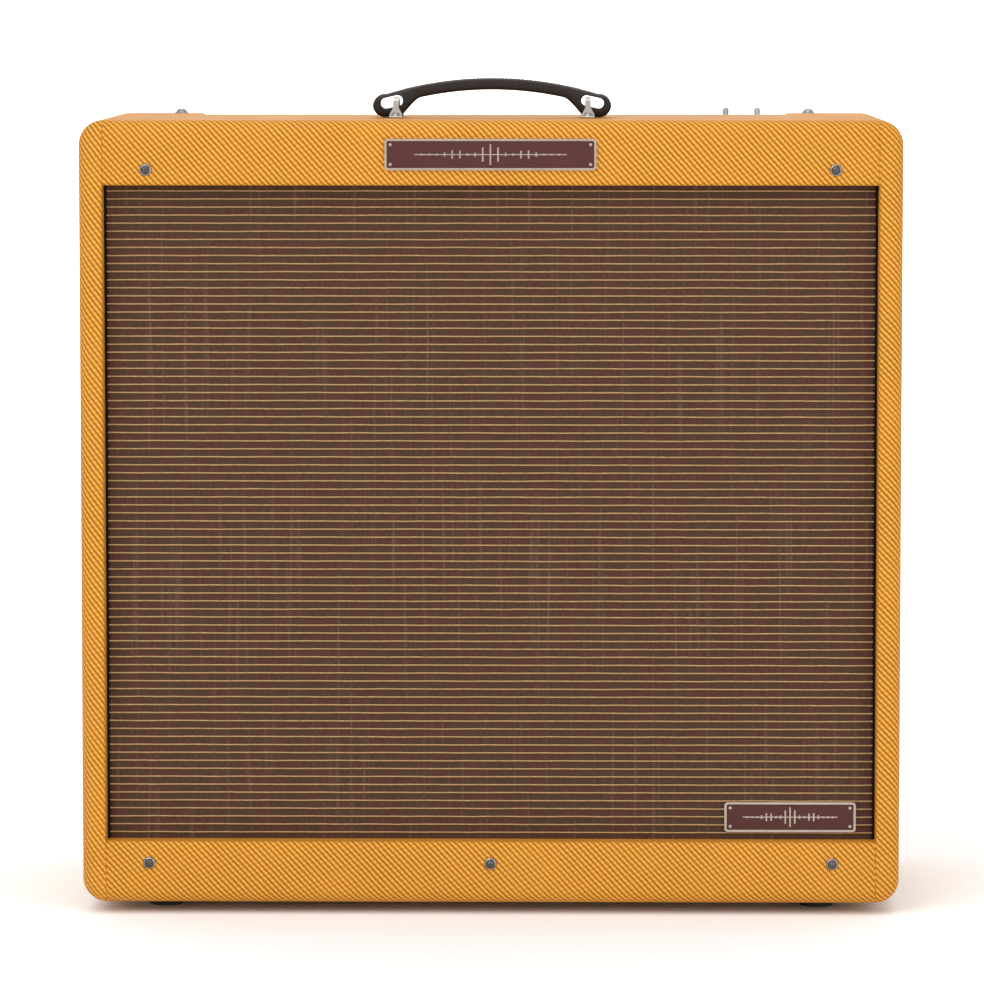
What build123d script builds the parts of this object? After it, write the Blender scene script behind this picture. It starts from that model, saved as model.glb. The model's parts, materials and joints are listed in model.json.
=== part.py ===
from build123d import *
import os
from math import asin, cos, degrees, radians, sin, tan

# A tweed-covered combo guitar amplifier with four 10-inch loudspeakers and an open back.
# The origin is on the floor under the middle of the cabinet. +Z is up, the grille faces -Y
# and +X is the right-hand side as seen from the front. All sizes are in millimetres.

# Cabinet
cabinet_width = 597.0
cabinet_height = 571.5
cabinet_depth = 267.0
board_thickness = 16.0
tweed_thickness = 0.8
corner_radius = 19.0
edge_radius = 11.0
finger_count = 13
foot_height = 8.0
foot_radius = 14.0
foot_taper = 0.86
foot_inset_x = 58.0
foot_inset_y = 50.0
foot_screw_length = 12.0

# Front: two narrow panels above and below the recessed grille
grille_recess = 16.0
opening_low = 45.9
opening_high = 524.5
cloth_thickness = 0.8
baffle_thickness = 13.0
cleat_size = 18.0
fit_gap = 0.5
front_screw_x = 249.3
front_screw_high = 535.8
front_screw_low = 30.0

# Back panels
back_thickness = 10.0
lower_back_top = 150.0
upper_back_low = 372.0
back_screw_edge = 14.0

# Screws
washer_radius = 4.6
washer_height = 1.5
screw_head_radius = 3.3
screw_head_height = 2.4
screw_radius = 1.8
screw_length = 24.0
bracket_screw_length = 16.0
recess_width = 0.9
hole_gap = 0.05

# Control recess, chassis and control panel
recess_half_width = 222.5
recess_depth = 62.0
chassis_half_width = 252.0
chassis_front_gap = 103.5
chassis_rear_gap = 2.0
chassis_height = 62.0
sheet = 1.5
panel_sheet = 1.2
vent_size = (36.0, 5.0)
vent_pitch = (60.0, 22.0)
vent_count = (7, 3)
bolt_x = 240.0
bolt_from_back = 25.0
bolt_radius = 2.9
bolt_head_radius = 4.4
bolt_head_height = 2.4
bolt_washer_radius = 5.8
bolt_washer_height = 1.1
board_sheet = 1.6
board_rise = 9.0
spacer_radius = 3.0

# Controls, in a row along the control panel
control_row_from_back = 28.0
knob_names = ("presence", "middle", "bass", "treble", "volume_bright", "volume_normal")
knob_first_x = 92.0
knob_pitch = 40.0
knob_radius = 9.5
knob_height = 13.4
knob_point = 15.0
knob_nose = 1.3
knob_shoulder = 4.6
knob_skirt = 0.42
knob_cap = 0.62
knob_lift = 0.6
knob_roof = 2.5
shaft_radius = 3.0
shaft_gap = 0.05
bushing_radius = 4.7
bushing_height = 4.2
nut_radius = 6.8
nut_height = 1.9
pot_radius = 12.0
pot_depth = 9.0
jack_first_x = -142.0
jack_pitch = 21.0
jack_count = 4
jack_bore_radius = 3.2
jack_bore_depth = 30.0
jack_body_radius = 8.0
jack_collar = 0.6
lamp_x = 142.0
lamp_radius = 8.0
lamp_height = 4.0
jewel_radius = 5.6
jewel_height = 7.0
jewel_sides = 8
jewel_depth = 6.0
toggle_x = (177.0, 201.0)
toggle_bushing_radius = 5.9
toggle_bore_radius = 4.2
toggle_bushing_height = 7.5
toggle_pivot_height = 2.0
toggle_tilt = 13.0
toggle_length = 18.5
toggle_ball_radius = 2.6
toggle_neck_radius = 1.3
toggle_tip_radius = 2.4
toggle_body = (13.0, 28.0, 20.0)
toggle_nut_edge = 2.6
small_bat_length = 10.5

# Rear connection plate
plate_half_width = 142.0
plate_height = 44.0
plate_drop = 9.0
plate_thickness = 1.5
plate_window_gap = 4.0
plate_window_inset = 6.0
socket_flange = 2.0
pin_height = 11.0
pin_spread = 7.0
inlet_x = 108.0
inlet_flange = (48.0, 24.0)
inlet_body = (30.0, 22.0)
inlet_cavity = (24.5, 16.5)
inlet_depth = 24.0
xlr_x = 52.0
xlr_radius = 11.5
xlr_cavity_radius = 9.2
xlr_depth = 20.0
usb_x = 14.0
usb_size = (14.0, 13.0)
usb_cavity = (9.5, 8.5)
usb_depth = 16.0
footswitch_x = -20.0
level_x = -54.0
ground_lift_x = -82.0
selector_x = -112.0
small_knob_radius = 7.5
small_knob_height = 8.0
small_shaft_radius = 2.0

# Loudspeakers
speaker_spacing = 262.0
speaker_radius = 129.5
speaker_hole_radius = 114.0
basket_lip = 2.0
basket_wall = 1.3
basket_step = 10.0
basket_depth = 46.0
basket_back_radius = 52.0
basket_windows = 6
window_share = 0.66
terminal_radius = 86.0
terminal_back = 36.0
terminal_half = 6.0
bolt_circle_radius = 122.0
speaker_bolt_radius = 2.3
speaker_bolt_head_radius = 4.5
speaker_bolt_head_height = 3.0
cone_radius = 112.6
cone_edge = 5.2
cone_roll_radius = 100.0
cone_depth = 30.0
cone_wall = 0.9
coil_radius = 18.5
coil_wall = 0.8
coil_length = 17.0
dust_cap_radius = 26.0
dust_cap_height = 9.0
magnet_radius = 46.0
magnet_depth = 48.0
magnet_gap_depth = 12.0
pole_radius = 17.2

# Handle and its two brackets
handle_y_from_front = 100.0
handle_length = 176.0
handle_rise = 29.0
handle_thickness = 8.5
handle_end_top = 17.0
handle_end_width = 28.0
handle_grip_width = 23.0
handle_rest_gap = 0.3
bracket_spacing = 141.6
bracket_height = 15.0
bracket_thickness = 1.6
bracket_top_width = 4.2
bracket_taper_low = 2.4
bracket_taper_high = 7.5
bracket_foot_width = 9.5
bracket_span = 31.5
bracket_foot_length = 13.0
bracket_corner = 2.0
slot_length = 17.0
slot_height = 8.0
slot_x = 74.2
slot_rise = 11.5
slot_tilt = 13.0

# Badges
badge_width = 153.0
badge_height = 22.7
badge_centre_height = 547.0
badge_thickness = 1.8
badge_border = 1.6
badge_border_height = 0.6
small_badge_width = 96.0
small_badge_height = 22.0
small_badge_x = 219.0
small_badge_centre_height = 62.5
badge_corner = 2.5
pin_inset = 4.2
pin_radius = 1.1
wave_bars = 19

# Leads
lead_radius = 2.0
lead_behind_chassis_front = 24.0

# Places worked out from the sizes above
floor_z = foot_height
top_z = floor_z + cabinet_height
front_y = -cabinet_depth / 2
back_y = cabinet_depth / 2
half_width = cabinet_width / 2
board_out = half_width - tweed_thickness
board_in = board_out - board_thickness
inner_low = floor_z + tweed_thickness + board_thickness
inner_high = top_z - tweed_thickness - board_thickness
low_z = floor_z + opening_low
high_z = floor_z + opening_high
cloth_y = front_y + grille_recess
baffle_y = cloth_y + cloth_thickness
speaker_y = baffle_y + baffle_thickness
opening_half = board_in - tweed_thickness
speaker_mid_z = (low_z + high_z) / 2
speaker_places = [
    (name, x * speaker_spacing / 2, speaker_mid_z + z * speaker_spacing / 2)
    for name, x, z in (
        ("upper_left", -1, 1),
        ("upper_right", 1, 1),
        ("lower_left", -1, -1),
        ("lower_right", 1, -1),
    )
]
chassis_rear_y = back_y - back_thickness - chassis_rear_gap
chassis_front_y = front_y + chassis_front_gap
chassis_low = inner_high - chassis_height
panel_top = inner_high + panel_sheet
control_y = back_y - control_row_from_back
plate_y = chassis_rear_y + plate_thickness
plate_high = inner_high - plate_drop
plate_low = plate_high - plate_height
plate_mid = (plate_low + plate_high) / 2
handle_y = front_y + handle_y_from_front
everywhere = 2 * cabinet_width


def slab(x, y, z, mode=Mode.ADD):
    """A block between two limits along each axis."""
    with Locations(((x[0] + x[1]) / 2, (y[0] + y[1]) / 2, (z[0] + z[1]) / 2)):
        Box(x[1] - x[0], y[1] - y[0], z[1] - z[0], mode=mode)


def rod(start, direction, radius, length, mode=Mode.ADD):
    """A round bar that starts at a point and runs in a direction."""
    with Locations(Plane(origin=start, z_dir=direction)):
        Cylinder(radius, length, align=(Align.CENTER, Align.CENTER, Align.MIN), mode=mode)


def copies(piece, places, direction, mode=Mode.ADD):
    """Copies of a piece at several points, with its own +Z turned to a direction."""
    for place in places:
        with Locations(Plane(origin=place, z_dir=direction)):
            add(piece, mode=mode)


def write(piece, name):
    """Label a finished piece and write its STEP file."""
    piece.part.label = name
    export_step(piece.part, f"parts/{name}.step")


def round_screw(head_radius, head_height, radius, length):
    """A domed screw: the underside of its head is at the origin and its shank runs down."""
    with BuildPart() as screw:
        with BuildSketch(Plane.XZ):
            with BuildLine():
                shoulder = (radius, radius - length)
                Polyline((0, head_height), (0, -length), shoulder, (radius, 0), (head_radius, 0))
                ThreePointArc((head_radius, 0), (0.72 * head_radius, 0.72 * head_height), (0, head_height))
            make_face()
        revolve(axis=Axis.Z)
        slot = (head_height * 0.45, head_height + 1)
        reach = (-0.6 * head_radius, 0.6 * head_radius)
        width = (-recess_width / 2, recess_width / 2)
        slab(reach, width, slot, Mode.SUBTRACT)
        slab(width, reach, slot, Mode.SUBTRACT)
    return screw.part


def cup_washer(radius, height, bore):
    """A finishing washer with a rounded rim, standing on the plane z = 0."""
    with BuildPart() as washer:
        with BuildSketch(Plane.XZ):
            with BuildLine():
                Polyline((bore, height), (bore, 0), (radius, 0))
                ThreePointArc((radius, 0), (0.88 * radius, 0.72 * height), (0.72 * radius, height))
                Line((0.72 * radius, height), (bore, height))
            make_face()
        revolve(axis=Axis.Z)
    return washer.part


os.makedirs("parts", exist_ok=True)

# Where the panel screws go: a point on the covered face and the way its head looks
front_screws = [
    (x * front_screw_x, front_y, floor_z + height)
    for height, sides in ((front_screw_high, (-1, 1)), (front_screw_low, (-1, 0, 1)))
    for x in sides
]
back_screw_x = board_in - back_screw_edge + cleat_size / 4
back_screws = [
    (x * back_screw_x, back_y, z)
    for x in (-1, 1)
    for z in (
        inner_low + back_screw_edge,
        floor_z + lower_back_top - back_screw_edge,
        floor_z + upper_back_low + back_screw_edge,
        inner_high - back_screw_edge,
    )
]
chassis_bolts = [(x * bolt_x, back_y - bolt_from_back, top_z) for x in (-1, 1)]
foot_x = half_width - foot_inset_x
foot_y = cabinet_depth / 2 - foot_inset_y
foot_places = [(x * foot_x, y * foot_y, floor_z) for x in (-1, 1) for y in (-1, 1)]
bracket_screw_y = bracket_span / 2 + bracket_foot_length / 2 + 1.0
bracket_screws = [
    (x * bracket_spacing / 2, handle_y + y * bracket_screw_y, top_z) for x in (-1, 1) for y in (-1, 1)
]


def screw_holes():
    """Cut every hole that a cabinet screw or bolt passes through."""
    for place in front_screws:
        rod(place, (0, 1, 0), screw_radius + hole_gap, screw_length + hole_gap, Mode.SUBTRACT)
    for place in back_screws:
        rod(place, (0, -1, 0), screw_radius + hole_gap, screw_length + hole_gap, Mode.SUBTRACT)
    for place in chassis_bolts:
        rod(place, (0, 0, -1), bolt_radius + hole_gap, cabinet_height / 10, Mode.SUBTRACT)
    for x, y, z in bracket_screws:
        top = (x, y, z + bracket_thickness)
        rod(top, (0, 0, -1), screw_radius + hole_gap, bracket_screw_length + hole_gap, Mode.SUBTRACT)
    for place in foot_places:
        rod(place, (0, 0, 1), screw_radius + hole_gap, foot_screw_length, Mode.SUBTRACT)


def rounded_block(inset):
    """The cabinet's outer shape, with its corners and its front and back edges rounded."""
    with BuildPart() as block:
        with BuildSketch(Plane.XZ.offset(cabinet_depth / 2 - inset)):
            with Locations((0, floor_z + cabinet_height / 2)):
                RectangleRounded(cabinet_width - 2 * inset, cabinet_height - 2 * inset, corner_radius - inset)
        extrude(amount=-(cabinet_depth - 2 * inset))
        ends = block.faces().filter_by(Axis.Y)
        fillet(ends.edges(), radius=edge_radius - inset)
    return block.part


# The bare wooden carcass, before it is divided into boards
with BuildPart() as carcass:
    add(rounded_block(tweed_thickness))
    slab((-board_in, board_in), (cloth_y, back_y), (inner_low, inner_high), Mode.SUBTRACT)
    upright = (low_z - tweed_thickness, high_z + tweed_thickness)
    slab((-board_in, board_in), (front_y, cloth_y), upright, Mode.SUBTRACT)
    cut = recess_half_width + tweed_thickness
    along = (back_y - recess_depth - tweed_thickness, back_y)
    slab((-cut, cut), along, (inner_high - 1, top_z), Mode.SUBTRACT)
    screw_holes()

# The side boards: full height at the front, finger-jointed to the top and bottom behind it
finger = (back_y - cloth_y) / finger_count
with BuildPart() as side_region:
    for sign in (-1, 1):
        across = sorted((sign * board_in, sign * everywhere))
        slab(across, (-everywhere, everywhere), (inner_low, inner_high))
        slab(across, (-everywhere, cloth_y), (-everywhere, everywhere))
        for number in range(0, finger_count, 2):
            start = cloth_y + number * finger
            slab(across, (start, start + finger), (-everywhere, everywhere))

for name, sign in (("left_board", -1), ("right_board", 1)):
    with BuildPart() as side_board:
        add(carcass.part)
        add(side_region.part, mode=Mode.INTERSECT)
        across = sorted((0, sign * everywhere))
        slab(across, (-everywhere, everywhere), (-everywhere, everywhere), Mode.INTERSECT)
    write(side_board, name)

for name, rear, low, high in (
    ("top_board", True, floor_z + cabinet_height / 2, everywhere),
    ("bottom_board", True, -everywhere, floor_z + cabinet_height / 2),
    ("front_top_panel", False, floor_z + cabinet_height / 2, everywhere),
    ("front_bottom_rail", False, -everywhere, floor_z + cabinet_height / 2),
):
    with BuildPart() as level_board:
        add(carcass.part)
        add(side_region.part, mode=Mode.SUBTRACT)
        along = (cloth_y, everywhere) if rear else (-everywhere, cloth_y)
        slab((-everywhere, everywhere), along, (low, high), Mode.INTERSECT)
    write(level_board, name)

# The tweed cloth glued round the whole carcass, turned in at the grille, the back and the control recess
with BuildPart() as tweed_covering:
    add(rounded_block(0))
    slab((-opening_half, opening_half), (-everywhere, everywhere), (low_z, high_z), Mode.SUBTRACT)
    slab((-board_in, board_in), (cloth_y, back_y - back_thickness), (inner_low, inner_high), Mode.SUBTRACT)
    rear_low = inner_low + tweed_thickness
    rear_high = inner_high - tweed_thickness
    across = (-opening_half, opening_half)
    slab(across, (back_y - back_thickness, everywhere), (rear_low, rear_high), Mode.SUBTRACT)
    recess_x = (-recess_half_width, recess_half_width)
    slab(recess_x, (back_y - recess_depth, everywhere), (inner_high - 2, everywhere), Mode.SUBTRACT)
    add(carcass.part, mode=Mode.SUBTRACT)
    screw_holes()
write(tweed_covering, "tweed_covering")

# The baffle board, with one hole for each loudspeaker, and the grille cloth stretched over its face
speaker_bolt_places = [
    (x + bolt_circle_radius * cos(radians(angle)), speaker_y, z + bolt_circle_radius * sin(radians(angle)))
    for name, x, z in speaker_places
    for angle in (45, 135, 225, 315)
]
with BuildPart() as baffle_board:
    half = board_in - fit_gap
    slab((-half, half), (baffle_y, speaker_y), (inner_low + fit_gap, inner_high - fit_gap))
    for name, x, z in speaker_places:
        rod((x, speaker_y, z), (0, -1, 0), speaker_hole_radius, baffle_thickness, Mode.SUBTRACT)
    for place in speaker_bolt_places:
        rod(place, (0, -1, 0), speaker_bolt_radius + hole_gap, baffle_thickness - 2, Mode.SUBTRACT)
    screw_holes()
write(baffle_board, "baffle_board")

with BuildPart() as grille_cloth:
    half = board_in - fit_gap
    slab((-half, half), (cloth_y, baffle_y), (inner_low + fit_gap, inner_high - fit_gap))
    screw_holes()
write(grille_cloth, "grille_cloth")

# Battens that the baffle and the two back panels are screwed to
with BuildPart() as cleats:
    batten_y = back_y - back_thickness
    for sign in (-1, 1):
        across = sorted((sign * board_in, sign * (board_in - cleat_size)))
        slab(across, (speaker_y, speaker_y + cleat_size), (inner_low, inner_high))
        slab(across, (batten_y - cleat_size, batten_y), (inner_low, floor_z + lower_back_top - fit_gap))
        slab(across, (batten_y - cleat_size, batten_y), (floor_z + upper_back_low + fit_gap, inner_high))
    screw_holes()
write(cleats, "cleats")

# The back panels are thin boards with their own tweed on the outer face and round the edges
back_half = opening_half - fit_gap
window_half = plate_half_width + plate_window_gap
window_low = plate_low - plate_window_gap
window_high = plate_high + plate_window_gap
panel_heights = (
    ("lower_back_panel", rear_low + fit_gap, floor_z + lower_back_top),
    ("upper_back_panel", floor_z + upper_back_low, rear_high - fit_gap),
)
for name, low, high in panel_heights:
    with BuildPart() as back_panel:
        edge = tweed_thickness
        inner = (edge - back_half, back_half - edge)
        slab(inner, (back_y - back_thickness, back_y - edge), (low + edge, high - edge))
        across = (-window_half - edge, window_half + edge)
        slab(across, (0, everywhere), (window_low - edge, window_high + edge), Mode.SUBTRACT)
        screw_holes()
    write(back_panel, name)

with BuildPart() as back_panel_tweed:
    for name, low, high in panel_heights:
        slab((-back_half, back_half), (back_y - back_thickness, back_y), (low, high))
        edge = tweed_thickness
        inner = (edge - back_half, back_half - edge)
        slab(inner, (back_y - back_thickness, back_y - edge), (low + edge, high - edge), Mode.SUBTRACT)
    frame_y = (back_y - back_thickness, back_y - tweed_thickness)
    lining = (-window_half - tweed_thickness, window_half + tweed_thickness)
    slab(lining, frame_y, (window_low - tweed_thickness, window_high + tweed_thickness))
    slab((-window_half, window_half), (0, everywhere), (window_low, window_high), Mode.SUBTRACT)
    screw_holes()
write(back_panel_tweed, "back_panel_tweed")

# Screws with finishing washers hold the front and back panels
with BuildPart() as panel_screws:
    screw = round_screw(screw_head_radius, screw_head_height, screw_radius, screw_length)
    copies(screw, [(x, y - washer_height / 2, z) for x, y, z in front_screws], (0, -1, 0))
    copies(screw, [(x, y + washer_height / 2, z) for x, y, z in back_screws], (0, 1, 0))
write(panel_screws, "panel_screws")

with BuildPart() as finishing_washers:
    washer = cup_washer(washer_radius, washer_height, screw_radius + hole_gap)
    copies(washer, front_screws, (0, -1, 0))
    copies(washer, back_screws, (0, 1, 0))
    for x, y, z in front_screws:
        rod((x, y - washer_height / 2, z), (0, -1, 0), screw_head_radius, washer_height, Mode.SUBTRACT)
    for x, y, z in back_screws:
        rod((x, y + washer_height / 2, z), (0, 1, 0), screw_head_radius, washer_height, Mode.SUBTRACT)
write(finishing_washers, "finishing_washers")

# Four rubber feet, each with a moulded peg pressed into the bottom board
with BuildPart() as feet:
    for x, y, z in foot_places:
        with BuildSketch(Plane.XY):
            with Locations((x, y)):
                Circle(foot_radius * foot_taper)
        with BuildSketch(Plane.XY.offset(foot_height)):
            with Locations((x, y)):
                Circle(foot_radius)
        loft()
        rod((x, y, z), (0, 0, 1), screw_radius, foot_screw_length - hole_gap)
write(feet, "feet")

# The chassis: a folded steel tray that hangs under the top board, with its cover below
jack_places = [(jack_first_x - number * jack_pitch, control_y, panel_top) for number in range(jack_count)]
footswitch_place = (footswitch_x, plate_y, plate_mid)
knob_places = [(name, knob_first_x - number * knob_pitch) for number, name in enumerate(knob_names)]
with BuildPart() as chassis_tray:
    outer_x = (-chassis_half_width, chassis_half_width)
    slab(outer_x, (chassis_front_y, chassis_rear_y), (chassis_low, inner_high))
    inner_x = (sheet - chassis_half_width, chassis_half_width - sheet)
    inner_y = (chassis_front_y + sheet, chassis_rear_y - sheet)
    slab(inner_x, inner_y, (chassis_low - 1, inner_high - sheet), Mode.SUBTRACT)
    across = (plate_window_inset - plate_half_width, plate_half_width - plate_window_inset)
    upright = (plate_low + plate_window_inset, plate_high - plate_window_inset)
    slab(across, (chassis_rear_y - 2 * sheet, chassis_rear_y), upright, Mode.SUBTRACT)
    for name, x in knob_places:
        rod((x, control_y, panel_top), (0, 0, -1), bushing_radius + hole_gap, 4 * sheet, Mode.SUBTRACT)
    for place in jack_places:
        rod(place, (0, 0, -1), bushing_radius + hole_gap, 4 * sheet, Mode.SUBTRACT)
    for x in toggle_x:
        rod((x, control_y, panel_top), (0, 0, -1), toggle_bushing_radius + hole_gap, 4 * sheet, Mode.SUBTRACT)
    rod((lamp_x, control_y, panel_top), (0, 0, -1), jewel_radius + hole_gap, 4 * sheet, Mode.SUBTRACT)
    screw_holes()
write(chassis_tray, "chassis_tray")

with BuildPart() as chassis_cover:
    slab(outer_x, (chassis_front_y, chassis_rear_y), (chassis_low - panel_sheet, chassis_low))
    with Locations((0, (chassis_front_y + chassis_rear_y) / 2, chassis_low)):
        with GridLocations(*vent_pitch, *vent_count):
            Box(*vent_size, 4 * sheet, mode=Mode.SUBTRACT)
write(chassis_cover, "chassis_cover")

# The polished control panel lies on the chassis inside the control recess
with BuildPart() as control_panel:
    half = recess_half_width - fit_gap
    slab((-half, half), (back_y - recess_depth + fit_gap, chassis_rear_y), (inner_high, panel_top))
    for name, x in knob_places:
        rod((x, control_y, panel_top), (0, 0, -1), bushing_radius + hole_gap, panel_sheet, Mode.SUBTRACT)
    for place in jack_places:
        rod(place, (0, 0, -1), bushing_radius + hole_gap, panel_sheet, Mode.SUBTRACT)
    for x in toggle_x:
        radius = toggle_bushing_radius + hole_gap
        rod((x, control_y, panel_top), (0, 0, -1), radius, panel_sheet, Mode.SUBTRACT)
    rod((lamp_x, control_y, panel_top), (0, 0, -1), jewel_radius + hole_gap, panel_sheet, Mode.SUBTRACT)
write(control_panel, "control_panel")

# Two machine screws with washers hold the chassis up against the top board
bolt_length = board_thickness + tweed_thickness + 4 * sheet
with BuildPart() as chassis_bolt_set:
    bolt = round_screw(bolt_head_radius, bolt_head_height, bolt_radius, bolt_length)
    copies(bolt, [(x, y, z + bolt_washer_height) for x, y, z in chassis_bolts], (0, 0, 1))
    washer = cup_washer(bolt_washer_radius, bolt_washer_height - hole_gap, bolt_radius + hole_gap)
    copies(washer, chassis_bolts, (0, 0, 1))
write(chassis_bolt_set, "chassis_bolts")

# Six pots: a can under the chassis with a threaded bushing and a nut on the panel
with BuildPart() as pot:
    under = (0, 0, inner_high - sheet - panel_top)
    rod(under, (0, 0, -1), pot_radius, pot_depth)
    rod(under, (0, 0, 1), bushing_radius, sheet + panel_sheet + bushing_height)
    bore = bushing_height + panel_sheet + sheet + 6
    rod((0, 0, bushing_height), (0, 0, -1), shaft_radius + shaft_gap, bore, Mode.SUBTRACT)
with BuildPart() as panel_nut:
    with BuildSketch(Plane.XY):
        RegularPolygon(nut_radius, 6)
        Circle(bushing_radius + hole_gap, mode=Mode.SUBTRACT)
    extrude(amount=nut_height)
with BuildPart() as pots:
    places = [(x, control_y, panel_top) for name, x in knob_places]
    copies(pot.part, places, (0, 0, 1))
    copies(panel_nut.part, places, (0, 0, 1))
write(pots, "pots")

# Pointer knobs, each with its steel shaft, which turns in the pot's bushing
knob_hollow_radius = nut_radius + 0.8
knob_hollow = bushing_height + 0.8
for name, x in knob_places:
    with BuildPart() as knob:
        with BuildSketch(Plane.XY.offset(knob_lift)):
            Circle(knob_radius)
            with BuildLine():
                left, right = (-knob_shoulder, 0), (knob_shoulder, 0)
                Polyline(left, (-knob_nose, -knob_point), (knob_nose, -knob_point), right, close=True)
            make_face()
        extrude(amount=knob_skirt * knob_height)
        with BuildSketch(Plane.XY.offset(knob_lift)):
            Circle(knob_cap * knob_radius)
            with BuildLine():
                heel, nose = 1.8 * knob_nose, 0.7 * knob_nose
                tip = nose - knob_point
                Polyline((-heel, knob_radius), (-nose, tip), (nose, tip), (heel, knob_radius), close=True)
            make_face()
        extrude(amount=knob_height)
        rod((0, 0, knob_lift), (0, 0, 1), knob_hollow_radius, knob_hollow - knob_lift, Mode.SUBTRACT)
        rod((0, 0, knob_lift), (0, 0, 1), shaft_radius + hole_gap, knob_height - knob_roof, Mode.SUBTRACT)
    with BuildPart() as knob_and_shaft:
        copies(knob.part, [(x, control_y, panel_top)], (0, 0, 1))
        shaft_top = panel_top + knob_lift + knob_height - knob_roof - hole_gap
        rod((x, control_y, shaft_top), (0, 0, -1), shaft_radius, knob_height + 4)
    write(knob_and_shaft, f"knob_{name}")

# Input jacks on the control panel and one footswitch jack on the rear plate
with BuildPart() as jack:
    jack_top = nut_height + jack_collar
    rod((0, 0, jack_top), (0, 0, -1), bushing_radius, jack_top + sheet + panel_sheet + 1)
    rod((0, 0, -sheet - panel_sheet), (0, 0, -1), jack_body_radius, jack_bore_depth)
    rod((0, 0, jack_top), (0, 0, -1), jack_bore_radius, jack_bore_depth, Mode.SUBTRACT)
with BuildPart() as jack_sockets:
    copies(jack.part, jack_places, (0, 0, 1))
    copies(panel_nut.part, jack_places, (0, 0, 1))
    copies(jack.part, [footswitch_place], (0, 1, 0))
    copies(panel_nut.part, [footswitch_place], (0, 1, 0))
write(jack_sockets, "jack_sockets")

# Pilot lamp: a bezel with a faceted jewel
with BuildPart() as lamp_bezel:
    with BuildSketch(Plane.XY.offset(panel_top)):
        with Locations((lamp_x, control_y)):
            Circle(lamp_radius)
            Circle(jewel_radius, mode=Mode.SUBTRACT)
    extrude(amount=lamp_height)
    rims = lamp_bezel.edges().filter_by(GeomType.CIRCLE).group_by(Axis.Z)[-1]
    chamfer(rims.sort_by(SortBy.RADIUS)[-1], length=0.15 * lamp_radius)
write(lamp_bezel, "lamp_bezel")

with BuildPart() as lamp_jewel:
    jewel_low = inner_high - sheet - jewel_depth
    rod((lamp_x, control_y, jewel_low), (0, 0, 1), jewel_radius, panel_top + lamp_height - jewel_low)
    with BuildSketch(Plane.XY.offset(panel_top + lamp_height)):
        with Locations((lamp_x, control_y)):
            RegularPolygon(jewel_radius, jewel_sides)
    extrude(amount=jewel_height - lamp_height, taper=35)
write(lamp_jewel, "lamp_jewel")

# Toggle switches: a body under the panel, a wide bushing and a nut, with a separate bat
ground_lift_place = (ground_lift_x, plate_y, plate_mid)
with BuildPart() as toggle_switch:
    rim = (0, 0, toggle_bushing_height)
    rod(rim, (0, 0, -1), toggle_bushing_radius, toggle_bushing_height + sheet + panel_sheet)
    body_x, body_y, body_z = toggle_body
    base = -sheet - panel_sheet
    slab((-body_x / 2, body_x / 2), (-body_y / 2, body_y / 2), (base - body_z, base))
    rod(rim, (0, 0, -1), toggle_bore_radius, toggle_bushing_height + 4, Mode.SUBTRACT)
with BuildPart() as toggle_nut:
    with BuildSketch(Plane.XY):
        RegularPolygon(toggle_bushing_radius + toggle_nut_edge, 6)
        Circle(toggle_bushing_radius + hole_gap, mode=Mode.SUBTRACT)
    extrude(amount=nut_height)
with BuildPart() as toggle_switches:
    places = [(x, control_y, panel_top) for x in toggle_x]
    copies(toggle_switch.part, places, (0, 0, 1))
    copies(toggle_nut.part, places, (0, 0, 1))
    copies(toggle_switch.part, [ground_lift_place], (0, 1, 0))
    copies(toggle_nut.part, [ground_lift_place], (0, 1, 0))
write(toggle_switches, "toggle_switches")

# The bat, drawn upright with the middle of its pivot ball at the origin
with BuildPart() as toggle_bat:
    with BuildSketch(Plane.XZ):
        with BuildLine():
            neck = (toggle_neck_radius, (toggle_ball_radius**2 - toggle_neck_radius**2) ** 0.5)
            shoulder = (toggle_tip_radius, toggle_length - toggle_tip_radius)
            ThreePointArc((0, -toggle_ball_radius), (toggle_ball_radius, 0), neck)
            Line(neck, shoulder)
            CenterArc((0, shoulder[1]), toggle_tip_radius, 0, 90)
            Line((0, toggle_length), (0, -toggle_ball_radius))
        make_face()
    revolve(axis=Axis.Z)

for name, x in (("bat_standby", toggle_x[0]), ("bat_power", toggle_x[1])):
    with BuildPart() as bat:
        lean = (0, sin(radians(toggle_tilt)), cos(radians(toggle_tilt)))
        copies(toggle_bat.part, [(x, control_y, panel_top + toggle_pivot_height)], lean)
    write(bat, name)

# Rear connection plate and what is mounted on it
def plate_block(x, size, along, mode=Mode.ADD):
    """A block centred on the rear plate's middle line, between two limits from front to back."""
    half_x, half_z = size[0] / 2, size[1] / 2
    slab((x - half_x, x + half_x), along, (plate_mid - half_z, plate_mid + half_z), mode)


with BuildPart() as rear_plate:
    slab((-plate_half_width, plate_half_width), (chassis_rear_y, plate_y), (plate_low, plate_high))
    across = (chassis_rear_y - 1, plate_y + 1)
    for x, size in ((inlet_x, inlet_body), (usb_x, usb_size)):
        plate_block(x, (size[0] + 2 * hole_gap, size[1] + 2 * hole_gap), across, Mode.SUBTRACT)
    rod((xlr_x, across[1], plate_mid), (0, -1, 0), xlr_radius + hole_gap, 5, Mode.SUBTRACT)
    rod((footswitch_x, across[1], plate_mid), (0, -1, 0), bushing_radius + hole_gap, 5, Mode.SUBTRACT)
    rod((ground_lift_x, across[1], plate_mid), (0, -1, 0), toggle_bushing_radius + hole_gap, 5, Mode.SUBTRACT)
    for x in (level_x, selector_x):
        rod((x, across[1], plate_mid), (0, -1, 0), bushing_radius + hole_gap, 5, Mode.SUBTRACT)
write(rear_plate, "rear_plate")

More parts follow.
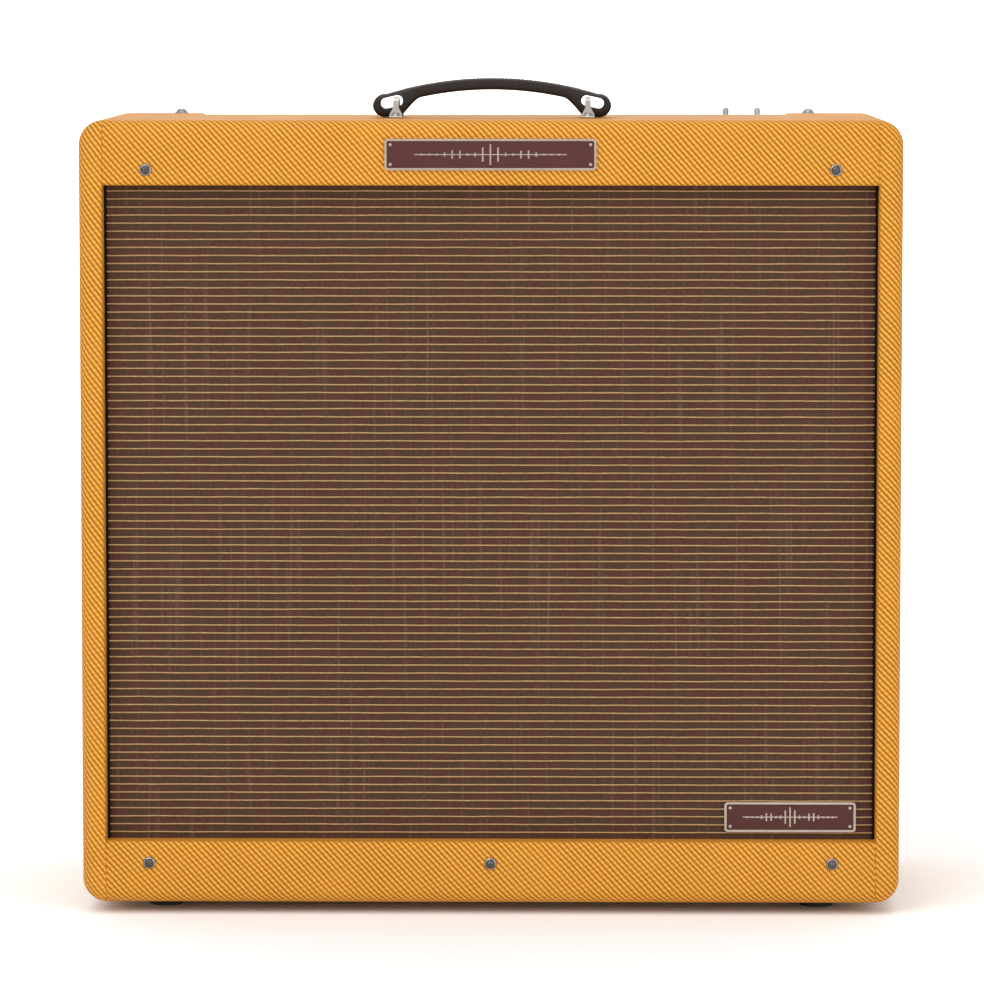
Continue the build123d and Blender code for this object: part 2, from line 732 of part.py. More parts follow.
with BuildPart() as power_inlet:
    floor_y = plate_y + socket_flange - inlet_depth + 4
    plate_block(inlet_x, inlet_flange, (plate_y, plate_y + socket_flange))
    plate_block(inlet_x, inlet_body, (plate_y - inlet_depth, plate_y))
    plate_block(inlet_x, inlet_cavity, (floor_y, plate_y + 3), Mode.SUBTRACT)
    for x, rise in ((-pin_spread, 0.0), (0, 4.0), (pin_spread, 0.0)):
        middle = inlet_x + x
        low = plate_mid + rise - 2.2
        slab((middle - 1, middle + 1), (floor_y, floor_y + pin_height), (low, low + 4.4))
write(power_inlet, "power_inlet")

with BuildPart() as signal_sockets:
    with BuildSketch(Plane.XZ.offset(-plate_y)):
        with Locations((xlr_x, plate_mid)):
            RectangleRounded(26, 31, 3)
    extrude(amount=-socket_flange)
    rod((xlr_x, plate_y, plate_mid), (0, -1, 0), xlr_radius, xlr_depth)
    mouth = (xlr_x, plate_y + socket_flange, plate_mid)
    rod(mouth, (0, -1, 0), xlr_cavity_radius, xlr_depth - 2, Mode.SUBTRACT)
    for angle in (30, 150, 270):
        x, z = xlr_x + 4.5 * cos(radians(angle)), plate_mid + 4.5 * sin(radians(angle))
        rod((x, plate_y - xlr_depth + 4, z), (0, 1, 0), 1.2, 12)
    plate_block(usb_x, usb_size, (plate_y - usb_depth, plate_y + 0.8))
    plate_block(usb_x, usb_cavity, (plate_y - usb_depth + 2, plate_y + 1), Mode.SUBTRACT)
write(signal_sockets, "signal_sockets")

# The level control and the output selector sit behind the plate and turn small round knobs
with BuildPart() as rear_control:
    rod((0, 0, 0), (0, 0, -1), bushing_radius, sheet + panel_sheet)
    rod((0, 0, -sheet - panel_sheet), (0, 0, -1), 8.5, pot_depth)
    rod((0, 0, 0), (0, 0, -1), small_shaft_radius + shaft_gap, 8, Mode.SUBTRACT)
with BuildPart() as rear_controls:
    copies(rear_control.part, [(level_x, plate_y, plate_mid), (selector_x, plate_y, plate_mid)], (0, 1, 0))
write(rear_controls, "rear_controls")

for name, x in (("knob_level", level_x), ("knob_selector", selector_x)):
    with BuildPart() as small_knob:
        rod((x, plate_y + 0.5, plate_mid), (0, 1, 0), small_knob_radius, small_knob_height)
        chamfer(small_knob.edges().filter_by(GeomType.CIRCLE).group_by(Axis.Y)[-1], length=0.8)
        notch_low = plate_y + small_knob_height - 0.4
        slab((x - 0.6, x + 0.6), (notch_low, notch_low + 1.4), (plate_mid, plate_mid + 7), Mode.SUBTRACT)
        rod((x, plate_y + 1, plate_mid), (0, -1, 0), small_shaft_radius, 7)
    write(small_knob, name)

with BuildPart() as bat_ground_lift:
    lean = (sin(radians(toggle_tilt)), cos(radians(toggle_tilt)), 0)
    start = (ground_lift_x, plate_y + toggle_pivot_height, plate_mid)
    with Locations(Plane(origin=start, z_dir=lean)):
        upward = (Align.CENTER, Align.CENTER, Align.MIN)
        Cone(toggle_neck_radius, 0.75 * toggle_tip_radius, small_bat_length - 3, align=upward)
        Sphere(0.9 * toggle_ball_radius)
write(bat_ground_lift, "bat_ground_lift")

# Inside the chassis: the main board, the power supply and the amplifier module, all on spacers
board_low = chassis_low + board_rise


def circuit_board(x, y, blocks):
    """A printed board with its larger parts, standing on four spacers."""
    slab(x, y, (board_low, board_low + board_sheet))
    for corner_x in (x[0] + 5, x[1] - 5):
        for corner_y in (y[0] + 5, y[1] - 5):
            rod((corner_x, corner_y, chassis_low), (0, 0, 1), spacer_radius, board_rise)
    for across, along, height in blocks:
        low = board_low + board_sheet
        slab((x[0] + across[0], x[0] + across[1]), (y[0] + along[0], y[0] + along[1]), (low, low + height))


with BuildPart() as main_board:
    parts = [((60 + 44 * n, 82 + 44 * n), (20, 42), 3.0) for n in range(4)]
    parts += [((20 + 13 * n, 29 + 13 * n), (56, 62), 7.0) for n in range(16)]
    circuit_board((-236, 20), (chassis_front_y + 6, chassis_front_y + 78), parts)
write(main_board, "main_board")

with BuildPart() as power_supply:
    parts = [((8, 48), (8, 48), 28.0), ((56, 66), (10, 70), 20.0), ((10, 46), (56, 76), 14.0)]
    circuit_board((142, 240), (chassis_front_y + 6, chassis_front_y + 90), parts)
    for n in range(3):
        rod((142 + 78, chassis_front_y + 22 + 22 * n, board_low + board_sheet), (0, 0, 1), 9, 26)
write(power_supply, "power_supply")

with BuildPart() as amplifier_module:
    circuit_board((32, 130), (chassis_front_y + 6, chassis_front_y + 78), [((6, 92), (6, 14), 22.0)])
    for n in range(9):
        low = board_low + board_sheet
        start = 38 + 10 * n
        slab((start, start + 3), (chassis_front_y + 20, chassis_front_y + 60), (low, low + 22))
write(amplifier_module, "amplifier_module")

# Loudspeakers, each drawn with its axis along +Z, the baffle's back face at z = 0 and the terminals at +X
sweep_angle = window_share * 360 / basket_windows
with BuildPart() as basket_window:
    with BuildSketch(Plane.XZ):
        with BuildLine():
            window_start = basket_step + 4
            window_end = basket_depth - 8
            Polyline(
                (10, window_start),
                (speaker_radius, window_start),
                (speaker_radius, window_end),
                (10, window_end),
                close=True,
            )
        make_face()
    revolve(axis=Axis.Z, revolution_arc=sweep_angle)

slope = (speaker_hole_radius - basket_back_radius) / (basket_depth - basket_step)
terminal_root = basket_depth - (terminal_radius + terminal_half - basket_back_radius) / slope
with BuildPart() as basket:
    with BuildSketch(Plane.XZ):
        with BuildLine():
            Polyline(
                (speaker_hole_radius, 0),
                (speaker_radius, 0),
                (speaker_radius, basket_lip),
                (speaker_hole_radius + basket_wall, basket_lip),
                (speaker_hole_radius + basket_wall, basket_step),
                (basket_back_radius + basket_wall, basket_depth),
                (pole_radius + 6, basket_depth),
                (pole_radius + 6, basket_depth - basket_lip),
                (basket_back_radius, basket_depth - basket_lip),
                (speaker_hole_radius, basket_step - basket_wall),
                close=True,
            )
        make_face()
    revolve(axis=Axis.Z)
    for number in range(basket_windows):
        middle = (number + 0.5) * 360 / basket_windows
        with Locations(Rotation(0, 0, middle - sweep_angle / 2)):
            add(basket_window.part, mode=Mode.SUBTRACT)
    for angle in (45, 135, 225, 315):
        spot = (bolt_circle_radius * cos(radians(angle)), bolt_circle_radius * sin(radians(angle)), -1)
        rod(spot, (0, 0, 1), speaker_bolt_radius + hole_gap, basket_lip + 2, Mode.SUBTRACT)
    along = (terminal_radius - terminal_half, terminal_radius + terminal_half)
    slab(along, (-terminal_half, terminal_half), (terminal_root, terminal_back))

with BuildPart() as cone:
    with BuildSketch(Plane.XZ):
        with BuildLine():
            coil_outer = coil_radius + coil_wall
            lift = cone_wall * 1.1
            Polyline(
                (cone_radius, cone_edge),
                (cone_roll_radius, cone_edge - 1.2),
                (coil_outer, cone_edge + cone_depth),
                (coil_outer, cone_edge + cone_depth + coil_length),
                (coil_radius, cone_edge + cone_depth + coil_length),
                (coil_radius, cone_edge + cone_depth - lift),
            )
            Line((coil_radius, cone_edge + cone_depth - lift), (cone_roll_radius, cone_edge - 1.2 - lift))
            Polyline(
                (cone_roll_radius, cone_edge - 1.2 - lift),
                (cone_radius, cone_edge - cone_wall),
                (cone_radius, cone_edge),
            )
        make_face()
    revolve(axis=Axis.Z)
    cap_share = (cone_roll_radius - dust_cap_radius) / (cone_roll_radius - coil_radius)
    cap_seat = cone_edge + cone_depth * cap_share - lift
    cap_sphere = (dust_cap_radius**2 + dust_cap_height**2) / (2 * dust_cap_height)
    cap_middle = cap_seat - dust_cap_height + cap_sphere
    cap_angle = degrees(asin(dust_cap_radius / cap_sphere))
    with BuildSketch(Plane.XZ):
        with BuildLine():
            outside = CenterArc((0, cap_middle), cap_sphere, -90, cap_angle)
            inside = CenterArc((0, cap_middle + cone_wall), cap_sphere, -90, cap_angle)
            Line(outside @ 0, inside @ 0)
            Line(outside @ 1, inside @ 1)
        make_face()
    revolve(axis=Axis.Z)

with BuildPart() as magnet:
    rod((0, 0, basket_depth), (0, 0, 1), magnet_radius, magnet_depth)
    chamfer(magnet.edges().filter_by(GeomType.CIRCLE).group_by(Axis.Z)[-1], length=5)
    rod((0, 0, basket_depth - 1), (0, 0, 1), coil_radius + coil_wall + 1, magnet_gap_depth, Mode.SUBTRACT)
    rod((0, 0, basket_depth - 6), (0, 0, 1), pole_radius, magnet_gap_depth + 6)

for name, x, z in speaker_places:
    turn = Plane(origin=(x, speaker_y, z), x_dir=(-1 if x > 0 else 1, 0, 0), z_dir=(0, 1, 0))
    with BuildPart() as speaker_frame:
        with Locations(turn):
            add(basket.part)
    write(speaker_frame, f"speaker_frame_{name}")
    with BuildPart() as speaker_cone:
        with Locations(turn):
            add(cone.part)
    write(speaker_cone, f"speaker_cone_{name}")

with BuildPart() as speaker_magnets:
    copies(magnet.part, [(x, speaker_y, z) for name, x, z in speaker_places], (0, 1, 0))
write(speaker_magnets, "speaker_magnets")

with BuildPart() as speaker_bolts:
    bolt_reach = basket_lip + baffle_thickness - 2 - hole_gap
    bolt = round_screw(speaker_bolt_head_radius, speaker_bolt_head_height, speaker_bolt_radius, bolt_reach)
    copies(bolt, [(x, y + basket_lip, z) for x, y, z in speaker_bolt_places], (0, 1, 0))
write(speaker_bolts, "speaker_bolts")

# Leads from the chassis to the loudspeakers: straight runs joined by tangent arcs
terminal_x = speaker_spacing / 2 - terminal_radius
lead_end_y = speaker_y + terminal_back
lead_exit_y = chassis_front_y + lead_behind_chassis_front
upper_z = speaker_mid_z + speaker_spacing / 2
lower_z = speaker_mid_z - speaker_spacing / 2
lead_top = chassis_low - panel_sheet
upper_lead = [
    (16, lead_exit_y, lead_top),
    (16, lead_exit_y, lead_top - 24),
    (23, lead_exit_y - 14, lead_top - 48),
    (34, lead_end_y + 34, upper_z + 12),
    (terminal_x, lead_end_y + 20, upper_z),
    (terminal_x, lead_end_y, upper_z),
]
lower_lead = [
    (30, lead_exit_y, lead_top),
    (30, lead_exit_y, lead_top - 44),
    (22, lead_exit_y - 12, lead_top - 92),
    (14, lead_exit_y - 20, lead_top - 142),
    (12, lead_exit_y - 22, lead_top - 194),
    (17, lead_exit_y - 24, lead_top - 244),
    (28, lead_end_y + 36, lead_top - 288),
    (38, lead_end_y + 28, lower_z + 14),
    (terminal_x, lead_end_y + 18, lower_z),
    (terminal_x, lead_end_y, lower_z),
]


def lead_arcs(points):
    """The largest arc radius that the runs beside each corner leave room for."""
    radii = []
    for before, corner, after in zip(points, points[1:], points[2:]):
        run_in = Vector(*corner) - Vector(*before)
        run_out = Vector(*after) - Vector(*corner)
        turn = radians(run_in.get_angle(run_out))
        radii.append(0.45 * min(run_in.length, run_out.length) / tan(turn / 2))
    return radii


with BuildPart() as speaker_leads:
    for route in (upper_lead, lower_lead):
        for sign in (-1, 1):
            points = [(sign * x, y, z) for x, y, z in route]
            with BuildLine() as path:
                FilletPolyline(*points, radius=lead_arcs(points))
            with BuildSketch(Plane(origin=path.line @ 0, z_dir=path.line % 0)):
                Circle(lead_radius)
            sweep(path=path.line)
write(speaker_leads, "speaker_leads")

# The carrying handle: an arched strap with thick ends, each with a slot for its bracket
with BuildPart() as handle:
    end_x = handle_length / 2
    grip_low = handle_rise - handle_thickness
    with BuildSketch(Plane.XZ.offset(-handle_y)) as outline:
        with BuildLine():
            ThreePointArc((-end_x + 8, handle_end_top), (0, handle_rise), (end_x - 8, handle_end_top))
            ThreePointArc((end_x - 8, handle_end_top), (end_x, 8), (end_x - 5, handle_rest_gap))
            Line((end_x - 5, handle_rest_gap), (end_x - 25, handle_rest_gap))
            Line((end_x - 25, handle_rest_gap), (end_x - 34, 0.7 * grip_low))
            ThreePointArc((end_x - 34, 0.7 * grip_low), (0, grip_low), (34 - end_x, 0.7 * grip_low))
            Line((34 - end_x, 0.7 * grip_low), (25 - end_x, handle_rest_gap))
            Line((25 - end_x, handle_rest_gap), (5 - end_x, handle_rest_gap))
            ThreePointArc((5 - end_x, handle_rest_gap), (-end_x, 8), (8 - end_x, handle_end_top))
        make_face()
    extrude(amount=handle_end_width / 2, both=True)
    with BuildSketch(Plane.XY.offset(-1)):
        with Locations((0, handle_y)):
            Rectangle(2 * end_x, handle_end_width)
        with BuildLine():
            waist = handle_y + handle_grip_width / 2
            edge = handle_y + handle_end_width / 2
            left, right = (22 - end_x, edge + 1), (end_x - 22, edge + 1)
            Polyline(left, (34 - end_x, waist), (end_x - 34, waist), right, close=True)
        make_face(mode=Mode.SUBTRACT)
        with BuildLine():
            waist = handle_y - handle_grip_width / 2
            edge = handle_y - handle_end_width / 2
            left, right = (22 - end_x, edge - 1), (end_x - 22, edge - 1)
            Polyline(left, (34 - end_x, waist), (end_x - 34, waist), right, close=True)
        make_face(mode=Mode.SUBTRACT)
    extrude(amount=handle_rise + 2, mode=Mode.INTERSECT)
    for sign in (-1, 1):
        with BuildSketch(Plane.XZ.offset(-handle_y)):
            with Locations(Location((sign * slot_x, slot_rise), sign * -slot_tilt)):
                SlotOverall(slot_length, slot_height)
        extrude(amount=handle_end_width, both=True, mode=Mode.SUBTRACT)
with BuildPart() as placed_handle:
    with Locations((0, 0, top_z)):
        add(handle.part)
write(placed_handle, "handle")

# Each bracket is a nickel strap that runs from front to back through its slot
with BuildPart() as bracket:
    with BuildSketch(Plane.YZ):
        with BuildLine():
            half = bracket_span / 2
            foot = half + bracket_foot_length
            low = bracket_thickness / 2
            high = bracket_height - bracket_thickness / 2
            Polyline(
                (-foot, low),
                (-half - 1, low),
                (-half, high - bracket_corner),
                (-half + bracket_corner, high),
                (half - bracket_corner, high),
                (half, high - bracket_corner),
                (half + 1, low),
                (foot, low),
            )
            offset(amount=bracket_thickness / 2, side=Side.BOTH)
        make_face()
    extrude(amount=bracket_foot_width / 2, both=True)
    for sign in (-1, 1):
        with BuildSketch(Plane.XZ):
            with BuildLine():
                Polyline(
                    (sign * bracket_foot_width / 2, bracket_taper_low),
                    (sign * bracket_top_width / 2, bracket_taper_high),
                    (sign * bracket_top_width / 2, bracket_height + 1),
                    (sign * (bracket_foot_width / 2 + 1), bracket_height + 1),
                    (sign * (bracket_foot_width / 2 + 1), bracket_taper_low),
                    close=True,
                )
            make_face()
        extrude(amount=half + 3, both=True, mode=Mode.SUBTRACT)

bracket_places = [(sign * bracket_spacing / 2, handle_y, top_z) for sign in (-1, 1)]
with BuildPart() as handle_brackets:
    copies(bracket.part, bracket_places, (0, 0, 1))
    screw_holes()
write(handle_brackets, "handle_brackets")

with BuildPart() as bracket_screw_set:
    screw = round_screw(screw_head_radius, screw_head_height, screw_radius, bracket_screw_length)
    copies(screw, [(x, y, z + bracket_thickness) for x, y, z in bracket_screws], (0, 0, 1))
write(bracket_screw_set, "bracket_screws")

# Two badges: a plate with a raised border, four corner pins and a raised waveform
for name, x, z, width, height, face in (
    ("badge_main", 0.0, badge_centre_height, badge_width, badge_height, front_y),
    ("badge_grille", small_badge_x, small_badge_centre_height, small_badge_width, small_badge_height, cloth_y),
):
    z = z + floor_z
    with BuildPart() as badge:
        with BuildSketch(Plane.XZ.offset(-face)):
            with Locations((x, z)):
                RectangleRounded(width, height, badge_corner)
        extrude(amount=badge_thickness)
        with BuildSketch(Plane.XZ.offset(-face + badge_thickness)):
            with Locations((x, z)):
                RectangleRounded(width, height, badge_corner)
                inside = (width - 2 * badge_border, height - 2 * badge_border)
                RectangleRounded(*inside, badge_corner / 2, mode=Mode.SUBTRACT)
        extrude(amount=badge_border_height)
        for pin_x in (-1, 1):
            for pin_z in (-1, 1):
                pin = (x + pin_x * (width / 2 - pin_inset), z + pin_z * (height / 2 - pin_inset))
                rod((pin[0], face - badge_thickness, pin[1]), (0, -1, 0), pin_radius, badge_border_height)
        with BuildSketch(Plane.XZ.offset(-face + badge_thickness)):
            with Locations((x, z)):
                Rectangle(0.72 * width, 0.7)
                for number in range(-(wave_bars // 2), wave_bars // 2 + 1):
                    swell = cos(radians(10 * number)) ** 2
                    beat = 0.55 + 0.45 * cos(radians(70 * number))
                    with Locations((number * 0.036 * width, 0)):
                        Rectangle(1.1, max(0.66 * height * swell * beat, 1.4))
        extrude(amount=badge_border_height * 0.7)
    write(badge, name)
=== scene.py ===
import json
from math import atan2, cos, pi, radians, sin, sqrt

import bmesh
import bpy
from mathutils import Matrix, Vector

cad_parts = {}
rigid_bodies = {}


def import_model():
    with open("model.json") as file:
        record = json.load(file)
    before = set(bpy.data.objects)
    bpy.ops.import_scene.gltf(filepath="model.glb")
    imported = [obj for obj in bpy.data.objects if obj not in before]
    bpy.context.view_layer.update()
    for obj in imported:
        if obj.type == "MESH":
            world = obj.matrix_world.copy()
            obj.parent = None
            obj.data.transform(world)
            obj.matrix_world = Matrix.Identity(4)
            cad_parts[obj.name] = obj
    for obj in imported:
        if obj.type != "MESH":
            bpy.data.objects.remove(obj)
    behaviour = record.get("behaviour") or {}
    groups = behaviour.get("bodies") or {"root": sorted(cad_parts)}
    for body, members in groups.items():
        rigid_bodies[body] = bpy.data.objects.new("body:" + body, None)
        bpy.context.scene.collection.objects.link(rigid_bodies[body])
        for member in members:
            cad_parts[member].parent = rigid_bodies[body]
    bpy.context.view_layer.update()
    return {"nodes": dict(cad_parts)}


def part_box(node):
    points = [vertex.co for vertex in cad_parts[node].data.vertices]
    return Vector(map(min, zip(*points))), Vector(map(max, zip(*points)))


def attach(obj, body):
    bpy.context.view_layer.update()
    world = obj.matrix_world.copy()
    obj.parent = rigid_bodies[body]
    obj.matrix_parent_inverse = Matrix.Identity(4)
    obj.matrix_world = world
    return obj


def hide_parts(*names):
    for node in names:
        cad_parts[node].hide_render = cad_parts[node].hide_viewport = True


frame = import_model()
NODES = frame["nodes"]

bl_info = {
    "name": "Tweed Guitar Amplifier",
    "version": (1, 0, 0),
    "blender": (4, 5, 0),
    "location": "View3D > Sidebar > Amplifier",
    "description": "Dresses a tweed-covered combo guitar amplifier and sets its stage",
    "category": "Object",
}

MM = 0.001
TAU = 2 * pi


def corners(node):
    """A CAD node's lowest and highest corners as vectors."""
    low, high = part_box(node)
    return Vector(low), Vector(high)


COVER_LOW, COVER_HIGH = corners("tweed_covering")
CLOTH_LOW, CLOTH_HIGH = corners("grille_cloth")
PANEL_LOW, PANEL_HIGH = corners("control_panel")
HANDLE_LOW, HANDLE_HIGH = corners("handle")
BACK_Y = COVER_HIGH.y
FRONT_Y = COVER_LOW.y
HANDLE_Y = (HANDLE_LOW.y + HANDLE_HIGH.y) / 2


# ---------------------------------------------------------------- settings


def size_setting(name, description, millimetres):
    """A length that a user can change."""
    return bpy.props.FloatProperty(
        name=name, description=description, default=millimetres * MM, unit="LENGTH")


def colour_setting(name, description, colour):
    """A colour that a user can change."""
    return bpy.props.FloatVectorProperty(
        name=name, description=description, default=colour, subtype="COLOR", size=3)


class AmpSettings(bpy.types.PropertyGroup):
    """Sizes and colours of the amplifier's cloth."""

    edge_radius: size_setting("Edge radius", "Radius of the cabinet's front and back edges", 11)
    opening_half: size_setting("Opening half width", "Half the recess in front of the grille", 280.9)
    opening_low: size_setting("Opening bottom", "Recess's lower edge above the cabinet's underside", 45.9)
    opening_high: size_setting("Opening top", "Recess's upper edge above the cabinet's underside", 524.5)
    recess_half: size_setting("Control recess half width", "Half the cut-out over the controls", 222.5)
    recess_depth: size_setting("Control recess depth", "How far the cut-out reaches in from the back", 62)
    rib_pitch: size_setting("Tweed rib pitch", "Distance between the diagonal ribs of the tweed", 3.2)
    stripe_pitch: size_setting("Grille stripe pitch", "Distance between the grille's gold stripes", 5.87)
    tweed_light: colour_setting("Tweed light", "Colour of the tweed's raised yarn", (0.86, 0.39, 0.046))
    tweed_dark: colour_setting("Tweed dark", "Colour of the tweed between its ribs", (0.28, 0.092, 0.003))
    stripe_gold: colour_setting("Stripe gold", "Colour of the grille's gold stripes", (0.56, 0.34, 0.155))


def settings():
    """The sizes and colours of this scene."""
    return bpy.context.scene.amp_settings


def tint(colour, factor, lift=0.0):
    """A colour made darker or lighter."""
    return tuple(min(1.0, factor * value + lift) for value in colour)


# ---------------------------------------------------------------- node helpers


class Tree:
    """Adds nodes to a node tree and links them."""

    def __init__(self, tree):
        self.tree = tree

    def node(self, kind, **values):
        node = self.tree.nodes.new(kind)
        for key, value in values.items():
            setattr(node, key, value)
        return node

    def link(self, source, target):
        self.tree.links.new(source, target)

    def feed(self, socket, value):
        """A number, a vector or another node's output goes into a socket."""
        if isinstance(value, bpy.types.NodeSocket):
            self.link(value, socket)
        else:
            socket.default_value = value

    def wired(self, kind, sockets, **values):
        """The outputs of a node whose named sockets are fed."""
        node = self.node(kind, **values)
        for name, value in sockets.items():
            self.feed(node.inputs[name], value)
        return node.outputs

    def math(self, operation, a, b=0.0, c=0.0):
        node = self.node("ShaderNodeMath", operation=operation)
        for socket, value in zip(node.inputs, (a, b, c)):
            self.feed(socket, value)
        return node.outputs[0]

    def plus(self, a, b):
        return self.math("ADD", a, b)

    def minus(self, a, b):
        return self.math("SUBTRACT", a, b)

    def times(self, a, b):
        return self.math("MULTIPLY", a, b)

    def over(self, a, b):
        return self.math("DIVIDE", a, b)

    def cosine(self, a):
        return self.math("COSINE", a)

    def absolute(self, a):
        return self.math("ABSOLUTE", a)

    def scaled(self, vector, factors):
        return self.vector("MULTIPLY", vector, factors)

    def normal(self):
        return self.node("ShaderNodeNewGeometry").outputs["Normal"]

    def vector(self, operation, a, b=(0, 0, 0)):
        node = self.node("ShaderNodeVectorMath", operation=operation)
        self.feed(node.inputs[0], a)
        self.feed(node.inputs[1], b)
        return node.outputs[0]

    def mix(self, factor, a, b, blend="MIX"):
        node = self.node("ShaderNodeMix", data_type="RGBA", blend_type=blend)
        self.feed(node.inputs["Factor"], factor)
        for socket, value in ((node.inputs[6], a), (node.inputs[7], b)):
            if isinstance(value, (tuple, list)) and len(value) == 3:
                value = (*value, 1)
            self.feed(socket, value)
        return node.outputs[2]

    def split(self, vector):
        node = self.node("ShaderNodeSeparateXYZ")
        self.feed(node.inputs[0], vector)
        return node.outputs

    def join(self, x, y, z=0.0):
        node = self.node("ShaderNodeCombineXYZ")
        for socket, value in zip(node.inputs, (x, y, z)):
            self.feed(socket, value)
        return node.outputs[0]

    def noise(self, vector, scale, detail=3.0, roughness=0.55, distortion=0.0):
        return self.wired("ShaderNodeTexNoise", {
            "Vector": vector, "Scale": scale, "Detail": detail, "Roughness": roughness,
            "Distortion": distortion})[0]

    def remap(self, value, low, high, new_low=0.0, new_high=1.0, smooth=False):
        node = self.node("ShaderNodeMapRange", interpolation_type="SMOOTHSTEP" if smooth else "LINEAR")
        for socket, number in zip(node.inputs, (value, low, high, new_low, new_high)):
            self.feed(socket, number)
        return node.outputs[0]

    def objects(self):
        return self.node("ShaderNodeTexCoord").outputs["Object"]

    def group(self, name, **values):
        """The outputs of a shared node group; an underscore stands for a space."""
        sockets = {key.replace("_", " "): value for key, value in values.items()}
        return self.wired("ShaderNodeGroup", sockets, node_tree=bpy.data.node_groups[name])

    def dressed(self, geometry, finish, end):
        """Send geometry to the tree's end as real faces in a finish."""
        whole = self.wired("GeometryNodeRealizeInstances", {"Geometry": geometry})
        done = self.wired("GeometryNodeSetMaterial", {"Geometry": whole[0], "Material": finish})
        self.link(done[0], end)


def new_tree(name, kind, inputs, outputs):
    """A node tree with named sockets; returns its tree helper, its input sockets and its end sockets."""
    tree = bpy.data.node_groups.new(name, kind)
    for label, socket_kind, *default in inputs:
        socket = tree.interface.new_socket(label, in_out="INPUT", socket_type=socket_kind)
        if default:
            socket.default_value = default[0]
    for label, socket_kind in outputs:
        tree.interface.new_socket(label, in_out="OUTPUT", socket_type=socket_kind)
    helper = Tree(tree)
    start = helper.node("NodeGroupInput")
    end = helper.node("NodeGroupOutput")
    return helper, start.outputs, end.inputs


FLOAT = "NodeSocketFloat"
VECTOR = "NodeSocketVector"
COUNT = "NodeSocketInt"
FINISH = "NodeSocketMaterial"


def material(name, roughness=0.5, metallic=0.0, **shader):
    """A material with one Principled BSDF; returns the material, its tree helper and its shader."""
    result = bpy.data.materials.new(name)
    result.use_nodes = True
    tree = Tree(result.node_tree)
    principled = result.node_tree.nodes["Principled BSDF"]
    principled.inputs["Roughness"].default_value = roughness
    principled.inputs["Metallic"].default_value = metallic
    for key, value in shader.items():
        principled.inputs[key.replace("_", " ")].default_value = value
    return result, tree, principled


def finish(tree, principled, colour, roughness=None, height=None, distance=0.0002, strength=0.5,
           metallic=None):
    """Feed the usual sockets of a shader."""
    for name, value in (("Base Color", colour), ("Roughness", roughness), ("Metallic", metallic)):
        if value is not None:
            tree.feed(principled.inputs[name], value)
    if height is not None:
        bump = tree.wired("ShaderNodeBump", {"Strength": strength, "Distance": distance, "Height": height})
        tree.link(bump[0], principled.inputs["Normal"])


# ---------------------------------------------------------------- shared effects


